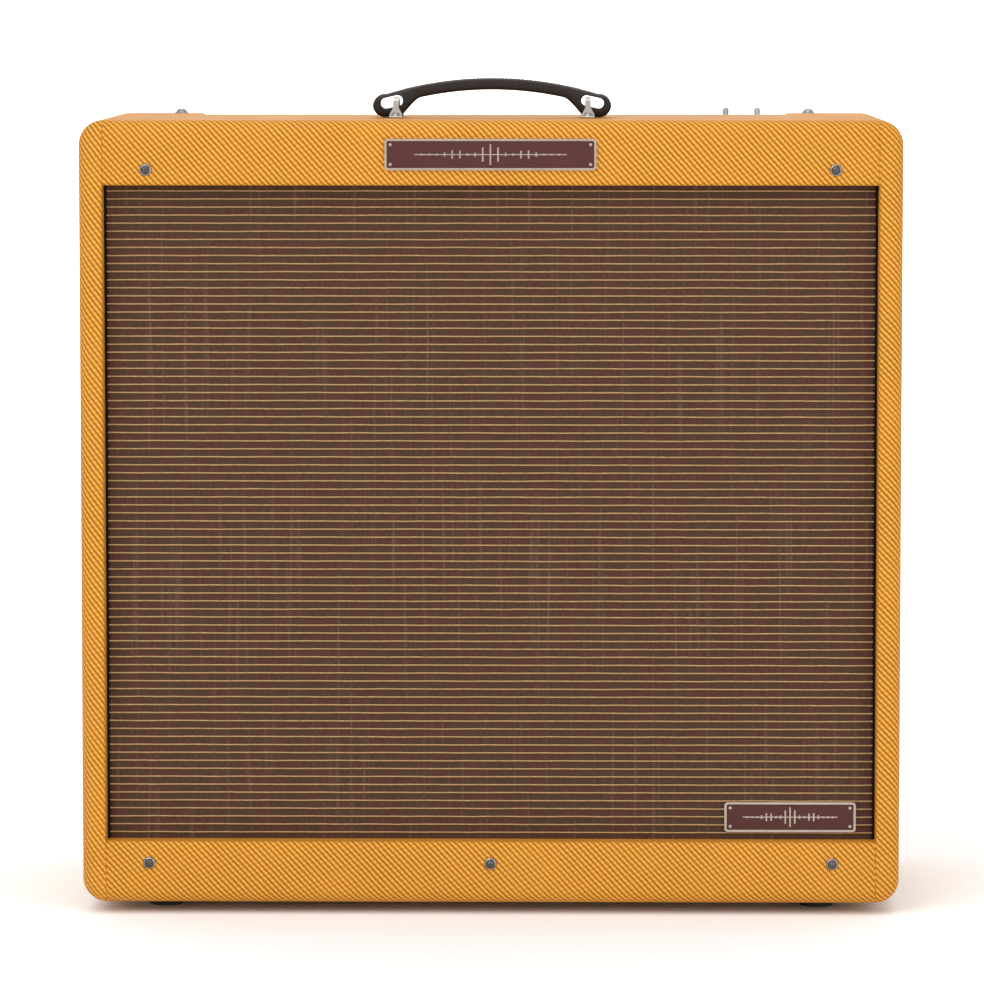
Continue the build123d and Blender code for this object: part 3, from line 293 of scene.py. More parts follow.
def build_groups():
    """Shader node groups that several materials share."""
    # Diagonal ribs of a twill. The vector holds the distance along and across the ribs, in metres.
    tree, given, out = new_tree(
        "Twill weave", "ShaderNodeTree",
        (("Vector", VECTOR), ("Rib Pitch", FLOAT, 0.0032), ("Unevenness", FLOAT, 0.5)),
        (("Rib", FLOAT), ("Yarn", FLOAT), ("Tone", FLOAT), ("Height", FLOAT)))
    along, across, depth = tree.split(given["Vector"])
    slow = tree.noise(given["Vector"], 55.0, 2.0)
    wander = tree.times(tree.minus(slow, 0.5), tree.times(given["Unevenness"], 1.6 * MM))
    count = tree.over(tree.plus(across, wander), given["Rib Pitch"])
    wave = tree.cosine(tree.times(count, TAU))
    rib = tree.remap(wave, -0.9, 0.45, smooth=True)
    step = tree.times(tree.math("FLOOR", count), 0.37)
    yarn_count = tree.plus(tree.over(along, tree.times(given["Rib Pitch"], 1.2)), step)
    slant = tree.plus(yarn_count, tree.times(count, 1.3))
    yarn = tree.remap(tree.cosine(tree.times(slant, TAU)), -1, 1)
    fuzz = tree.noise(tree.scaled(given["Vector"], (1, 2.4, 1)), 900.0, 2.0, 0.6)
    blotch = tree.noise(given["Vector"], 14.0, 3.0, 0.6)
    tone = tree.plus(tree.times(fuzz, 0.65), tree.times(blotch, 0.35))
    height = tree.plus(rib, tree.times(tree.times(yarn, rib), 0.35))
    height = tree.plus(height, tree.times(fuzz, 0.25))
    for name, value in (("Rib", rib), ("Yarn", yarn), ("Tone", tone), ("Height", height)):
        tree.link(value, out[name])

    # Handling marks: soft smudges, fine scratches and small specks
    tree, given, out = new_tree(
        "Handling marks", "ShaderNodeTree",
        (("Vector", VECTOR), ("Scale", FLOAT, 1.0)),
        (("Smudge", FLOAT), ("Scratch", FLOAT), ("Speck", FLOAT)))
    where = tree.vector("SCALE", given["Vector"])
    tree.link(given["Scale"], where.node.inputs["Scale"])
    tree.link(tree.remap(tree.noise(where, 60.0, 4.0, 0.6), 0.35, 0.75, smooth=True), out["Smudge"])
    stretched = tree.scaled(where, (1.0, 14.0, 1.0))
    scratch = tree.noise(stretched, 420.0, 2.0, 0.5, 0.4)
    tree.link(tree.remap(scratch, 0.62, 0.72, smooth=True), out["Scratch"])
    tree.link(tree.remap(tree.noise(where, 1500.0, 2.0, 0.5), 0.66, 0.76, smooth=True), out["Speck"])

    # Pebbled grain of moulded leather or vinyl
    tree, given, out = new_tree(
        "Pebble grain", "ShaderNodeTree",
        (("Vector", VECTOR), ("Scale", FLOAT, 900.0)),
        (("Crease", FLOAT), ("Tone", FLOAT)))
    push = tree.join(tree.noise(given["Vector"], 400.0), tree.noise(given["Vector"], 430.0), 0.0)
    warp = tree.vector("ADD", given["Vector"], tree.scaled(push, (0.0006, 0.0006, 0)))
    cells = tree.wired("ShaderNodeTexVoronoi", {"Vector": warp, "Scale": given["Scale"]},
                       feature="DISTANCE_TO_EDGE")
    tree.link(tree.remap(cells["Distance"], 0.0, 0.28, smooth=True), out["Crease"])
    tree.link(tree.noise(given["Vector"], 130.0, 4.0, 0.6), out["Tone"])

    # Growth rings and pores of sawn timber; X of the vector runs along the grain
    tree, given, out = new_tree(
        "Timber grain", "ShaderNodeTree",
        (("Vector", VECTOR), ("Ring Scale", FLOAT, 90.0)),
        (("Ring", FLOAT), ("Pore", FLOAT)))
    slim = tree.scaled(given["Vector"], (0.06, 1.0, 1.0))
    warp = tree.noise(slim, 14.0, 3.0, 0.5)
    across = tree.plus(tree.split(slim)[1], tree.times(tree.split(slim)[2], 0.6))
    rings = tree.math("FRACT", tree.plus(tree.times(across, given["Ring Scale"]), tree.times(warp, 6.0)))
    tree.link(tree.remap(rings, 0.0, 1.0, smooth=True), out["Ring"])
    pores = tree.noise(tree.scaled(given["Vector"], (0.04, 1, 1)), 2200.0, 2.0)
    tree.link(tree.remap(pores, 0.35, 0.75), out["Pore"])


# ---------------------------------------------------------------- materials


def tweed_material(name, vector_from):
    """Lacquered tweed; vector_from gives the distances along and across the ribs."""
    result, tree, shader = material(name, 0.6, Specular_IOR_Level=0.22)
    where = vector_from(tree)
    weave = tree.group("Twill weave", Vector=where, Rib_Pitch=settings().rib_pitch, Unevenness=0.5)
    light, dark = tuple(settings().tweed_light), tuple(settings().tweed_dark)
    raised = tree.mix(tree.remap(weave["Tone"], 0.3, 0.7), tint(light, 0.86), light)
    raised = tree.mix(tree.times(weave["Yarn"], 0.9), raised, tint(light, 0.55))
    sunk = tree.mix(tree.remap(weave["Tone"], 0.3, 0.7), tint(dark, 0.8), tint(dark, 1.25))
    colour = tree.mix(weave["Rib"], sunk, raised)
    marks = tree.group("Handling marks", Vector=tree.objects(), Scale=0.35)
    colour = tree.mix(tree.times(marks["Smudge"], 0.12), colour, tint(light, 0.75))
    gloss = tree.remap(weave["Rib"], 0, 1, 0.72, 0.55)
    finish(tree, shader, colour, gloss, weave["Height"], 0.00022, 0.55)
    return result


def ribs_from_uv(tree):
    """Distances along and across the ribs from the cover's unrolled places."""
    return tree.node("ShaderNodeUVMap", uv_map="weave").outputs[0]


def ribs_from_place(tree):
    """Distances along and across the ribs on a panel that faces the back."""
    x, y, z = tree.split(tree.objects())
    turn = radians(48)
    along = tree.minus(tree.times(x, -cos(turn)), tree.times(z, sin(turn)))
    across = tree.plus(tree.times(x, -sin(turn)), tree.times(z, cos(turn)))
    across = tree.plus(across, tree.times(y, 0.7))
    return tree.join(along, across, 0.0)


WEFT_PITCH = 0.98 * MM
TWIST_PITCH = 1.6 * MM
STRIPE_DROP = 1.2 * MM


def stripe_low():
    """Height of the lowest gold stripe, which hides just below the recess's edge."""
    return COVER_LOW.z + settings().opening_low - STRIPE_DROP


def grille_material():
    """Dark red-brown cloth between the gold stripes, with fine upright warp marks, a painted shadow under
    each stripe and painted shade along both sides.
    """
    result, tree, shader = material("Grille cloth", 0.9, Specular_IOR_Level=0.15)
    x, y, z = tree.split(tree.objects())
    pitch = settings().stripe_pitch
    place = tree.join(x, z, 0.0)
    slow = tree.noise(tree.scaled(place, (1, 0.3, 1)), 26.0, 2.0)
    wander = tree.times(tree.minus(slow, 0.5), 0.6 * MM)
    phase = tree.over(tree.minus(tree.plus(z, wander), stripe_low()), pitch)
    number = tree.math("FLOOR", phase)
    hue = tree.noise(tree.join(x, tree.times(number, 0.05), 0.0), 45.0, 4.0, 0.7)
    plum = (0.086, 0.034, 0.026)
    umber = (0.074, 0.038, 0.021)
    colour = tree.mix(tree.remap(hue, 0.42, 0.58), plum, umber)
    warp_marks = tree.noise(tree.scaled(place, (1.0, 0.12, 1.0)), 900.0, 3.0, 0.65)
    shaded = tree.mix(0.55, colour, (0.035, 0.017, 0.012))
    colour = tree.mix(tree.remap(warp_marks, 0.36, 0.62), shaded, colour)
    broad = tree.noise(tree.scaled(place, (1.0, 0.02, 1.0)), 300.0, 3.0, 0.6)
    colour = tree.mix(tree.times(tree.remap(broad, 0.56, 0.72), 0.30), colour, (0.22, 0.14, 0.085))
    place_in_band = tree.math("FRACT", phase)
    # Painted shadow: a dark olive-brown line just below each gold stripe, where the raised thread shades
    # the cloth.
    under = tree.remap(place_in_band, 0.70, 0.86, smooth=True)
    colour = tree.mix(tree.times(under, 0.85), colour, (0.060, 0.034, 0.006))
    over = tree.remap(place_in_band, 0.16, 0.03, smooth=True)
    colour = tree.mix(tree.times(over, 0.75), colour, (0.085, 0.028, 0.012))
    # Painted shade: the cloth turns near black in the last few millimetres at each side, where the recess
    # walls shade it.
    shade_from, shade_to = CLOTH_HIGH.x - 4.2 * MM, CLOTH_HIGH.x - 1.8 * MM
    painted_edge_shade = tree.remap(tree.absolute(x), shade_from, shade_to, smooth=True)
    colour = tree.mix(tree.times(painted_edge_shade, 0.95), colour, (0.004, 0.003, 0.002))
    weft = tree.cosine(tree.times(z, TAU / WEFT_PITCH))
    height = tree.plus(tree.times(weft, 0.3), warp_marks)
    finish(tree, shader, colour, None, height, 0.00025, 0.7)
    return result


def thread_material():
    """Gold-coloured twisted thread."""
    result, tree, shader = material("Gold thread", 0.42, 0.25)
    x, y, z = tree.split(tree.objects())
    gold = tuple(settings().stripe_gold)
    uneven = tree.noise(tree.join(x, tree.times(z, 4.0), 0.0), 260.0, 3.0, 0.7)
    twist = tree.cosine(tree.times(tree.plus(x, tree.times(z, 0.8)), TAU / TWIST_PITCH))
    colour = tree.mix(tree.remap(uneven, 0.35, 0.68), tint(gold, 0.55), gold)
    colour = tree.mix(tree.remap(twist, 0.2, 1.0, 0.0, 0.4), colour, tint(gold, 0.45))
    finish(tree, shader, colour, None, tree.plus(twist, uneven), 0.0002, 0.6)
    return result


def metal_material(name, colour, roughness, wear=0.3, brushed=0.0, scale=1.0):
    """Plated or polished metal with smudges, scratches and specks."""
    result, tree, shader = material(name, roughness, 1.0)
    where = tree.objects()
    marks = tree.group("Handling marks", Vector=where, Scale=scale)
    shade = tree.mix(tree.times(marks["Smudge"], wear), colour, tint(colour, 0.55))
    shade = tree.mix(tree.times(marks["Speck"], wear), shade, tint(colour, 0.25))
    gloss = tree.plus(tree.times(marks["Smudge"], 0.16), roughness)
    gloss = tree.plus(gloss, tree.times(marks["Scratch"], 0.14))
    height = tree.plus(marks["Scratch"], tree.times(marks["Speck"], 0.7))
    if brushed:
        lines = tree.noise(tree.scaled(where, (0.02, 1.0, 1.0)), 2600.0, 2.0)
        height = tree.plus(height, tree.times(lines, brushed))
        gloss = tree.plus(gloss, tree.times(lines, 0.1 * brushed))
    finish(tree, shader, shade, gloss, height, 0.00005, 0.35)
    return result


def plain_material(name, colour, roughness, grain=700.0, depth=0.00008, wear=0.25, **shader_values):
    """Moulded plastic, rubber or paint: fine surface texture, tone variation and handling marks."""
    result, tree, shader = material(name, roughness, 0.0, **shader_values)
    where = tree.objects()
    texture = tree.noise(where, grain, 3.0, 0.6)
    broad = tree.noise(where, grain / 22, 3.0, 0.5)
    marks = tree.group("Handling marks", Vector=where, Scale=1.0)
    shade = tree.mix(tree.remap(broad, 0.3, 0.7), tint(colour, 0.8), tint(colour, 1.5, 0.012))
    shade = tree.mix(tree.times(marks["Scratch"], wear), shade, tint(colour, 2.2, 0.04))
    gloss = tree.plus(tree.times(tree.plus(marks["Smudge"], texture), 0.12), roughness - 0.06)
    finish(tree, shader, shade, gloss, texture, depth, 0.4)
    return result


def timber_material(name, light, dark, along, ring_scale=90.0, layers=0.0):
    """Bare timber. along is the axis of the grain, and layers the thickness of plywood's plies."""
    result, tree, shader = material(name, 0.6)
    x, y, z = tree.split(tree.objects())
    order = {"x": (x, z, y), "y": (y, x, z), "z": (z, x, y)}[along]
    grain = tree.group("Timber grain", Vector=tree.join(*order), Ring_Scale=ring_scale)
    colour = tree.mix(tree.times(grain["Ring"], 0.7), light, dark)
    colour = tree.mix(tree.times(grain["Pore"], 0.25), colour, tint(dark, 0.5))
    if layers:
        ply = tree.math("FRACT", tree.over(y, layers))
        edge = tree.remap(tree.absolute(tree.split(tree.normal())[1]), 0.3, 0.5, 0.5, 0.0)
        colour = tree.mix(tree.times(tree.remap(ply, 0.45, 0.55), edge), colour, dark)
    gloss = tree.remap(grain["Pore"], 0, 1, 0.5, 0.72)
    finish(tree, shader, colour, gloss, grain["Pore"], 0.00015, 0.4)
    return result


BADGE_PLATE = 1.8 * MM


def badge_material(name, node):
    """Dark red field under a raised nickel border, pins and waveform."""
    low, high = corners(node)
    result, tree, shader = material(name, 0.35, 0.0, Specular_IOR_Level=0.2)
    x, y, z = tree.split(tree.objects())
    field_y = high.y - BADGE_PLATE
    raised = tree.remap(y, field_y - 0.12 * MM, field_y - 0.06 * MM, 1.0, 0.0)
    edge_x, edge_z = (
        tree.minus(tree.absolute(tree.minus(place, (start + end) / 2)), (end - start) / 2)
        for place, start, end in ((x, low.x, high.x), (z, low.z, high.z)))
    rim = tree.remap(tree.math("MAXIMUM", edge_x, edge_z), -0.3 * MM, -0.2 * MM)
    bare = tree.math("MAXIMUM", raised, rim)
    marks = tree.group("Handling marks", Vector=tree.objects(), Scale=1.4)
    lines = tree.noise(tree.scaled(tree.objects(), (0.02, 1.0, 1.0)), 5200.0, 2.0)
    field = tree.mix(tree.remap(lines, 0.35, 0.7), (0.058, 0.016, 0.014), (0.088, 0.026, 0.022))
    field = tree.mix(tree.times(marks["Speck"], 0.5), field, (0.02, 0.01, 0.01))
    nickel = tree.mix(tree.times(marks["Smudge"], 0.5), (0.50, 0.41, 0.34), (0.33, 0.27, 0.22))
    colour = tree.mix(bare, field, nickel)
    gloss = tree.plus(tree.times(lines, 0.15), tree.remap(bare, 0, 1, 0.38, 0.24))
    finish(tree, shader, colour, gloss, tree.plus(lines, marks["Scratch"]), 0.00004, 0.4, metallic=bare)
    return result


def jewel_material():
    """Faceted red lamp jewel with depth; its warm core is a painted glow from a weak emission."""
    result, tree, shader = material("Lamp jewel", 0.08, 0.0, Coat_Weight=1.0, Coat_Roughness=0.04)
    cells = tree.wired("ShaderNodeTexVoronoi", {"Vector": tree.objects(), "Scale": 420.0})
    colour = tree.mix(cells["Distance"], (0.55, 0.012, 0.008), (0.16, 0.002, 0.002))
    # Painted glow: the jewel's colour is also sent out as weak emission, with no lamp lit inside it.
    tree.link(colour, shader.inputs["Emission Color"])
    shader.inputs["Emission Strength"].default_value = 0.25
    finish(tree, shader, colour, None, cells["Distance"], 0.0003, 0.5)
    return result


def board_material():
    """Green circuit board with copper tracks and dark parts standing on it."""
    result, tree, shader = material("Circuit board", 0.35)
    x, y, z = tree.split(tree.objects())
    parts_top = corners("main_board")[1].z
    tracks = tree.wired("ShaderNodeTexBrick", {
        "Vector": tree.join(x, y, 0.0), "Scale": 70.0, "Mortar Size": 0.012,
        "Color1": (0.012, 0.11, 0.045, 1), "Color2": (0.010, 0.085, 0.035, 1),
        "Mortar": (0.04, 0.20, 0.07, 1)})
    tall = tree.remap(z, parts_top - 6.1 * MM, parts_top - 5.8 * MM)
    parts = tree.mix(tree.noise(tree.objects(), 90.0, 1.0), (0.012, 0.012, 0.014), (0.10, 0.085, 0.03))
    colour = tree.mix(tall, tracks["Color"], parts)
    gloss = tree.remap(tree.noise(tree.objects(), 300.0), 0, 1, 0.25, 0.5)
    finish(tree, shader, colour, gloss, tree.noise(tree.objects(), 800.0), 0.00008, 0.4)
    return result


def cone_material():
    """Felted paper with stray fibres."""
    result, tree, shader = material("Paper cone", 0.9, Sheen_Weight=0.1)
    where = tree.objects()
    fibre = tree.noise(where, 1300.0, 4.0, 0.7, 0.6)
    cloud = tree.noise(where, 40.0, 3.0)
    colour = tree.mix(tree.remap(fibre, 0.3, 0.7), (0.030, 0.027, 0.024), (0.085, 0.075, 0.064))
    colour = tree.mix(tree.times(cloud, 0.5), colour, (0.05, 0.042, 0.035))
    finish(tree, shader, colour, tree.remap(cloud, 0, 1, 0.8, 0.95), fibre, 0.0003, 0.6)
    return result


def handle_material():
    """Dark brown pebbled strap, with a painted highlight on its upward faces."""
    result, tree, shader = material("Handle strap", 0.45, Specular_IOR_Level=0.28)
    where = tree.objects()
    grain = tree.group("Pebble grain", Vector=where, Scale=900.0)
    facing_up = tree.split(tree.normal())[2]
    # Painted highlight: upward faces are made paler in colour, as if lit from above.
    painted_top_highlight = tree.remap(facing_up, 0.45, 0.85, 0.0, 0.6, smooth=True)
    base = tree.mix(grain["Tone"], (0.019, 0.012, 0.009), (0.036, 0.023, 0.017))
    base = tree.mix(tree.times(painted_top_highlight, grain["Tone"]), base, (0.16, 0.115, 0.095))
    colour = tree.mix(grain["Crease"], (0.008, 0.005, 0.004), base)
    gloss = tree.remap(grain["Crease"], 0, 1, 0.62, 0.42)
    finish(tree, shader, colour, gloss, grain["Crease"], 0.00012, 0.4)
    return result


def build_materials():
    """Every finish of the amplifier, by name."""
    return {
        "tweed": tweed_material("Tweed", ribs_from_uv),
        "tweed_back": tweed_material("Tweed back panels", ribs_from_place),
        "grille": grille_material(),
        "thread": thread_material(),
        "nickel": metal_material("Nickel plate", (0.50, 0.46, 0.41), 0.22, 0.45),
        "screw": metal_material("Darkened screw heads", (0.13, 0.125, 0.12), 0.3, 0.5),
        "washer": metal_material("Dull nickel", (0.34, 0.32, 0.31), 0.26, 0.5),
        "chrome": metal_material("Polished chrome", (0.56, 0.57, 0.58), 0.14, 0.3),
        "panel": metal_material("Polished panel", (0.36, 0.37, 0.38), 0.2, 0.35, brushed=0.3),
        "zinc": metal_material("Zinc-plated steel", (0.58, 0.59, 0.58), 0.38, 0.4, brushed=0.6),
        "black": plain_material(
            "Black moulding", (0.018, 0.017, 0.016), 0.32, 900.0, 0.00005, Coat_Weight=0.3),
        "white": plain_material("White filling", (0.72, 0.70, 0.64), 0.5, 900.0),
        "ink": plain_material("Black panel print", (0.012, 0.012, 0.012), 0.5, 1200.0),
        "rubber": plain_material("Black rubber", (0.022, 0.021, 0.020), 0.72, 420.0, 0.0002),
        "lead": plain_material("Lead insulation", (0.030, 0.024, 0.020), 0.5, 600.0),
        "basket": plain_material(
            "Basket paint", (0.030, 0.030, 0.033), 0.38, 500.0, 0.0001, Coat_Weight=0.2),
        "can": plain_material(
            "Grey hammered paint", (0.24, 0.25, 0.26), 0.34, 260.0, 0.0006, Coat_Weight=0.4),
        "pine_x": timber_material("Pine along the width", (0.60, 0.40, 0.20), (0.40, 0.21, 0.085), "x"),
        "pine_z": timber_material("Pine upright", (0.60, 0.40, 0.20), (0.40, 0.21, 0.085), "z"),
        "ply": timber_material(
            "Birch plywood", (0.52, 0.36, 0.20), (0.36, 0.22, 0.11), "x", 40.0, layers=2.6 * MM),
        "badge_main": badge_material("Main badge", "badge_main"),
        "badge_grille": badge_material("Grille badge", "badge_grille"),
        "jewel": jewel_material(),
        "board": board_material(),
        "cone": cone_material(),
        "handle": handle_material(),
        "stitch": plain_material("Waxed stitching", (0.10, 0.070, 0.045), 0.6, 1500.0),
    }


FINISHES = {}


# ---------------------------------------------------------------- mesh helpers


def add_piece(name, mesh, finish_name, body, crease=None):
    """Show a mesh as a piece that rides on a CAD body."""
    piece = linked(name, mesh)
    if not mesh.materials:
        mesh.materials.append(FINISHES[finish_name])
    mesh.polygons.foreach_set("use_smooth", [True] * len(mesh.polygons))
    if crease:
        mesh.set_sharp_from_angle(angle=radians(crease))
    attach(piece, body)
    return piece


def plain_mesh(name, verts, faces, merge=0.0):
    """A mesh from points and faces, with doubles merged where a distance is given."""
    mesh = bpy.data.meshes.new(name)
    mesh.from_pydata(verts, [], faces)
    if merge:
        form = bmesh.new()
        form.from_mesh(mesh)
        bmesh.ops.remove_doubles(form, verts=form.verts, dist=merge)
        bmesh.ops.recalc_face_normals(form, faces=form.faces)
        form.to_mesh(mesh)
        form.free()
    return mesh


def tube_faces(rings, points):
    """Faces between rings of points, with both ends closed."""
    faces = []
    for ring in range(rings - 1):
        for point in range(points):
            a, b = ring * points + point, ring * points + (point + 1) % points
            faces.append((a, a + points, b + points, b))
    faces.append(tuple(range(points)))
    faces.append(tuple(range((rings - 1) * points, rings * points)))
    return faces


def joined(parts):
    """One list of points and faces from several."""
    verts, faces = [], []
    for more_verts, more_faces in parts:
        shift = len(verts)
        verts.extend(more_verts)
        faces.extend([[index + shift for index in face] for face in more_faces])
    return verts, faces


def linked(name, data):
    """A new object in the scene."""
    made = bpy.data.objects.new(name, data)
    bpy.context.scene.collection.objects.link(made)
    return made


def geometry_tree(name, inputs):
    """A geometry node tree with named inputs; returns its tree helper, input sockets and end socket."""
    tree, given, end = new_tree(name, "GeometryNodeTree", inputs, [("Geometry", "NodeSocketGeometry")])
    return tree, given, end["Geometry"]


def grown(name, tree, **values):
    """The plain mesh that a geometry node tree makes with these values."""
    carrier = linked(name, bpy.data.meshes.new(name))
    modifier = carrier.modifiers.new(name, "NODES")
    modifier.node_group = tree
    for item in tree.interface.items_tree:
        key = item.name.lower().replace(" ", "_")
        if item.in_out == "INPUT" and key in values:
            modifier[item.identifier] = values[key]
    shape = carrier.evaluated_get(bpy.context.evaluated_depsgraph_get())
    mesh = bpy.data.meshes.new_from_object(shape)
    carrier.modifiers.remove(modifier)
    bpy.data.objects.remove(carrier)
    return mesh


# ---------------------------------------------------------------- tweed cover


LINING = 17.6 * MM
GROOVE = 0.6 * MM
LIP = 2.5 * MM
SEAM_LENGTH = 15 * MM
CLOSE = 0.8 * MM
ROUNDED = 0.7 * MM
SOFT_DROP = 1.3 * MM
SOFT_REACH = 2 * MM
RIB_ANGLES = {"top": 48.0, "right": 45.5, "bottom": 47.0, "left": 52.0}


def cover_section(depth, lip):
    """Rows of the cover's section, from the grille round the front edge to the lining at the back.

    Each row holds the inset, the distance from front to back, the unrolled distance, and the surface's
    direction outwards and along Y.
    """
    radius = settings().edge_radius
    inner = lip - depth
    rows = [(depth, CLOTH_LOW.y, inner - lip * pi / 2 - (CLOTH_LOW.y - FRONT_Y - lip), -1.0, 0.0)]
    for step in range(5):
        turn = step * pi / 8
        rows.append((depth - lip * (1 - cos(turn)), FRONT_Y + lip * (1 - sin(turn)),
                     inner - lip * (pi / 2 - turn), -cos(turn), -sin(turn)))
    for step in range(9):
        turn = step * pi / 16
        rows.append((radius * (1 - sin(turn)), FRONT_Y + radius * (1 - cos(turn)), radius * (turn - 1),
                     sin(turn), -cos(turn)))
    edge = radius * (pi / 2 - 1)
    recess = BACK_Y - settings().recess_depth
    for y in (FRONT_Y + 14 * MM, FRONT_Y + 16 * MM, recess - SOFT_REACH, recess - ROUNDED, recess):
        rows.append((0.0, y, edge + y - FRONT_Y - radius, 1.0, 0.0))
    back_edge = edge + BACK_Y - FRONT_Y - 2 * radius
    for step in range(9):
        turn = step * pi / 16
        rows.append((radius * (1 - cos(turn)), BACK_Y - radius * (1 - sin(turn)),
                     back_edge + radius * turn, cos(turn), sin(turn)))
    inside = back_edge + radius * pi / 2 + LINING - radius
    rows.append((LINING - 2 * MM, BACK_Y, inside - 2 * MM, 0.0, 1.0))
    rows.append((LINING - 0.6 * MM, BACK_Y - 0.6 * MM, inside - 0.6 * MM, -0.7, 0.7))
    rows.append((LINING, BACK_Y - 2 * MM, inside + 0.8 * MM, -1.0, 0.0))
    rows.append((LINING, BACK_Y - 10 * MM, inside + 8.8 * MM, -1.0, 0.0))
    return rows


def cover_columns(side):
    """Places along one side of the cabinet, clockwise as seen from the front.

    Each holds x, z, the outward direction's x and z, and the radius of the lip.
    """
    given = settings()
    half, low, high = COVER_HIGH.x, COVER_LOW.z, COVER_HIGH.z
    mouth, recess = given.opening_half, given.recess_half
    if side in ("top", "bottom"):
        steps = [mouth, mouth - CLOSE, recess + SOFT_REACH, recess + ROUNDED, recess, 150 * MM, 75 * MM]
        places = [-x for x in steps] + [0.0] + steps[::-1]
        if side == "top":
            return [(x, high, 0.0, 1.0, LIP) for x in places]
        return [(-x, low, 0.0, -1.0, LIP) for x in places]
    corner = half - mouth
    turns = [90.0, 87.5, 80.0, 70.0, 60.0, 50.0, 40.0, 30.0, 20.0, 10.0, 0.0]
    columns = []
    for turn in turns:
        x, z = cos(radians(turn)), sin(radians(turn))
        columns.append((mouth + corner * x, high - corner + corner * z, x, z, GROOVE))
    open_low, open_high = low + given.opening_low, low + given.opening_high
    columns.append((half, open_high + CLOSE, 1.0, 0.0, GROOVE))
    for share in range(9):
        z = open_high - 1.5 * MM + share / 8 * (open_low - open_high + 3 * MM)
        columns.append((half, z, 1.0, 0.0, LIP))
    columns.append((half, open_low - CLOSE, 1.0, 0.0, GROOVE))
    for turn in turns[::-1]:
        x, z = cos(radians(turn)), -sin(radians(turn))
        columns.append((mouth + corner * x, low + corner + corner * z, x, z, GROOVE))
    if side == "left":
        columns = [(-x, z, -out_x, out_z, lip) for x, z, out_x, out_z, lip in columns[::-1]]
    return columns


def cover_side(side, verts, faces, marks):
    """Add one side's points and faces, and the unrolled place of each face corner."""
    given = settings()
    depths = {"top": COVER_HIGH.z - COVER_LOW.z - given.opening_high, "bottom": given.opening_low}
    depth = depths.get(side, LINING)
    recess_y = BACK_Y - given.recess_depth
    columns = cover_columns(side)
    start = len(verts)
    unrolled, cut = [], []
    for number, (x, z, out_x, out_z, lip) in enumerate(columns):
        seam = number in (0, len(columns) - 1)
        for inset, y, reach, outward, along in cover_section(depth, lip):
            drop = GROOVE if seam and y < FRONT_Y + SEAM_LENGTH and inset < depth else 0.0
            inside = side == "top" and abs(x) < given.recess_half + 0.1 * MM and y > recess_y - 0.1 * MM
            if side == "top" and y > recess_y - 3 * MM:
                away = sqrt(max(0, abs(x) - given.recess_half) ** 2 + max(0, recess_y - y) ** 2)
                drop = max(drop, SOFT_DROP * (1 - min(away, SOFT_REACH) / SOFT_REACH) ** 2)
            place = Vector((x - out_x * inset, y, z - out_z * inset))
            place -= drop * Vector((out_x * outward, along, out_z * outward))
            verts.append(place)
            unrolled.append((x + out_x * reach, z + out_z * reach))
            cut.append(inside)
    rows = (len(verts) - start) // len(columns)
    turn = radians(RIB_ANGLES[side])

    def corner(index):
        u, v = unrolled[index - start]
        return (u * cos(turn) - v * sin(turn), u * sin(turn) + v * cos(turn))

    for j in range(len(columns) - 1):
        for k in range(rows - 1):
            first = start + j * rows + k
            face = [first, first + rows, first + rows + 1, first + 1]
            if all(cut[index - start] for index in face):
                continue
            faces.append(face)
            marks.append([corner(index) for index in face])
    return start, rows, columns, cut, corner


def recess_walls(start, rows, columns, cut, corner, verts, faces, marks):
    """The cloth-lined walls round the control recess, from its soft edges down to the control panel."""
    floor = PANEL_LOW.z
    inside = [j for j in range(len(columns)) if cut[j * rows + rows - 1]]
    first = next(k for k in range(rows) if cut[inside[0] * rows + k])

    def wall(top):
        below = []
        for index in top:
            below.append(len(verts))
            verts.append(Vector((verts[index].x, verts[index].y, min(floor, verts[index].z - 0.1 * MM))))
        for a, b, low_b, low_a in zip(top, top[1:], below[1:], below):
            faces.append([a, b, low_b, low_a])
            fall = [0.0, 0.0, verts[b].z - verts[low_b].z, verts[a].z - verts[low_a].z]
            places = [(*corner(index), 0.7 * drop) for index, drop in zip((a, b, b, a), fall)]
            marks.append([(u + drop, v - drop) for u, v, drop in places])

    wall([start + j * rows + first for j in inside])
    wall([start + inside[-1] * rows + k for k in range(first, rows)])
    wall([start + inside[0] * rows + k for k in range(rows - 1, first - 1, -1)])


def cover_mesh():
    """The tweed round the cabinet, with soft corners, front seams and the cut-out over the controls."""
    verts, faces, marks = [], [], []
    for side in ("top", "right", "bottom", "left"):
        made = cover_side(side, verts, faces, marks)
        if side == "top":
            recess_walls(*made, verts, faces, marks)
    mesh = bpy.data.meshes.new("tweed_cover")
    mesh.from_pydata(verts, [], faces)
    layer = mesh.uv_layers.new(name="weave")
    layer.data.foreach_set("uv", [value for face in marks for place in face for value in place])
    form = bmesh.new()
    form.from_mesh(mesh)
    bmesh.ops.remove_doubles(form, verts=form.verts, dist=0.01 * MM)
    bmesh.ops.dissolve_degenerate(form, dist=0.005 * MM, edges=form.edges)
    form.to_mesh(mesh)
    form.free()
    return mesh


# ---------------------------------------------------------------- grille


RIPPLE = 0.06 * MM
THREAD_RADIUS = 0.58 * MM
THREAD_WANDER = 0.9 * MM


def grille_mesh():
    """The stretched cloth, with a faint unevenness between its stripes."""
    across, upright = 120, 116
    verts = []
    for row in range(upright + 1):
        for column in range(across + 1):
            x = CLOTH_LOW.x + (CLOTH_HIGH.x - CLOTH_LOW.x) * column / across
            z = CLOTH_LOW.z + (CLOTH_HIGH.z - CLOTH_LOW.z) * row / upright
            ripple = RIPPLE * sin(x / (9 * MM)) * sin(z / (13 * MM) + 1.7 * sin(x / (41 * MM)))
            verts.append((x, CLOTH_LOW.y + RIPPLE + ripple, z))
    faces = []
    for row in range(upright):
        for column in range(across):
            first = row * (across + 1) + column
            faces.append((first, first + 1, first + across + 2, first + across + 1))
    return plain_mesh("grille_sheet", verts, faces)


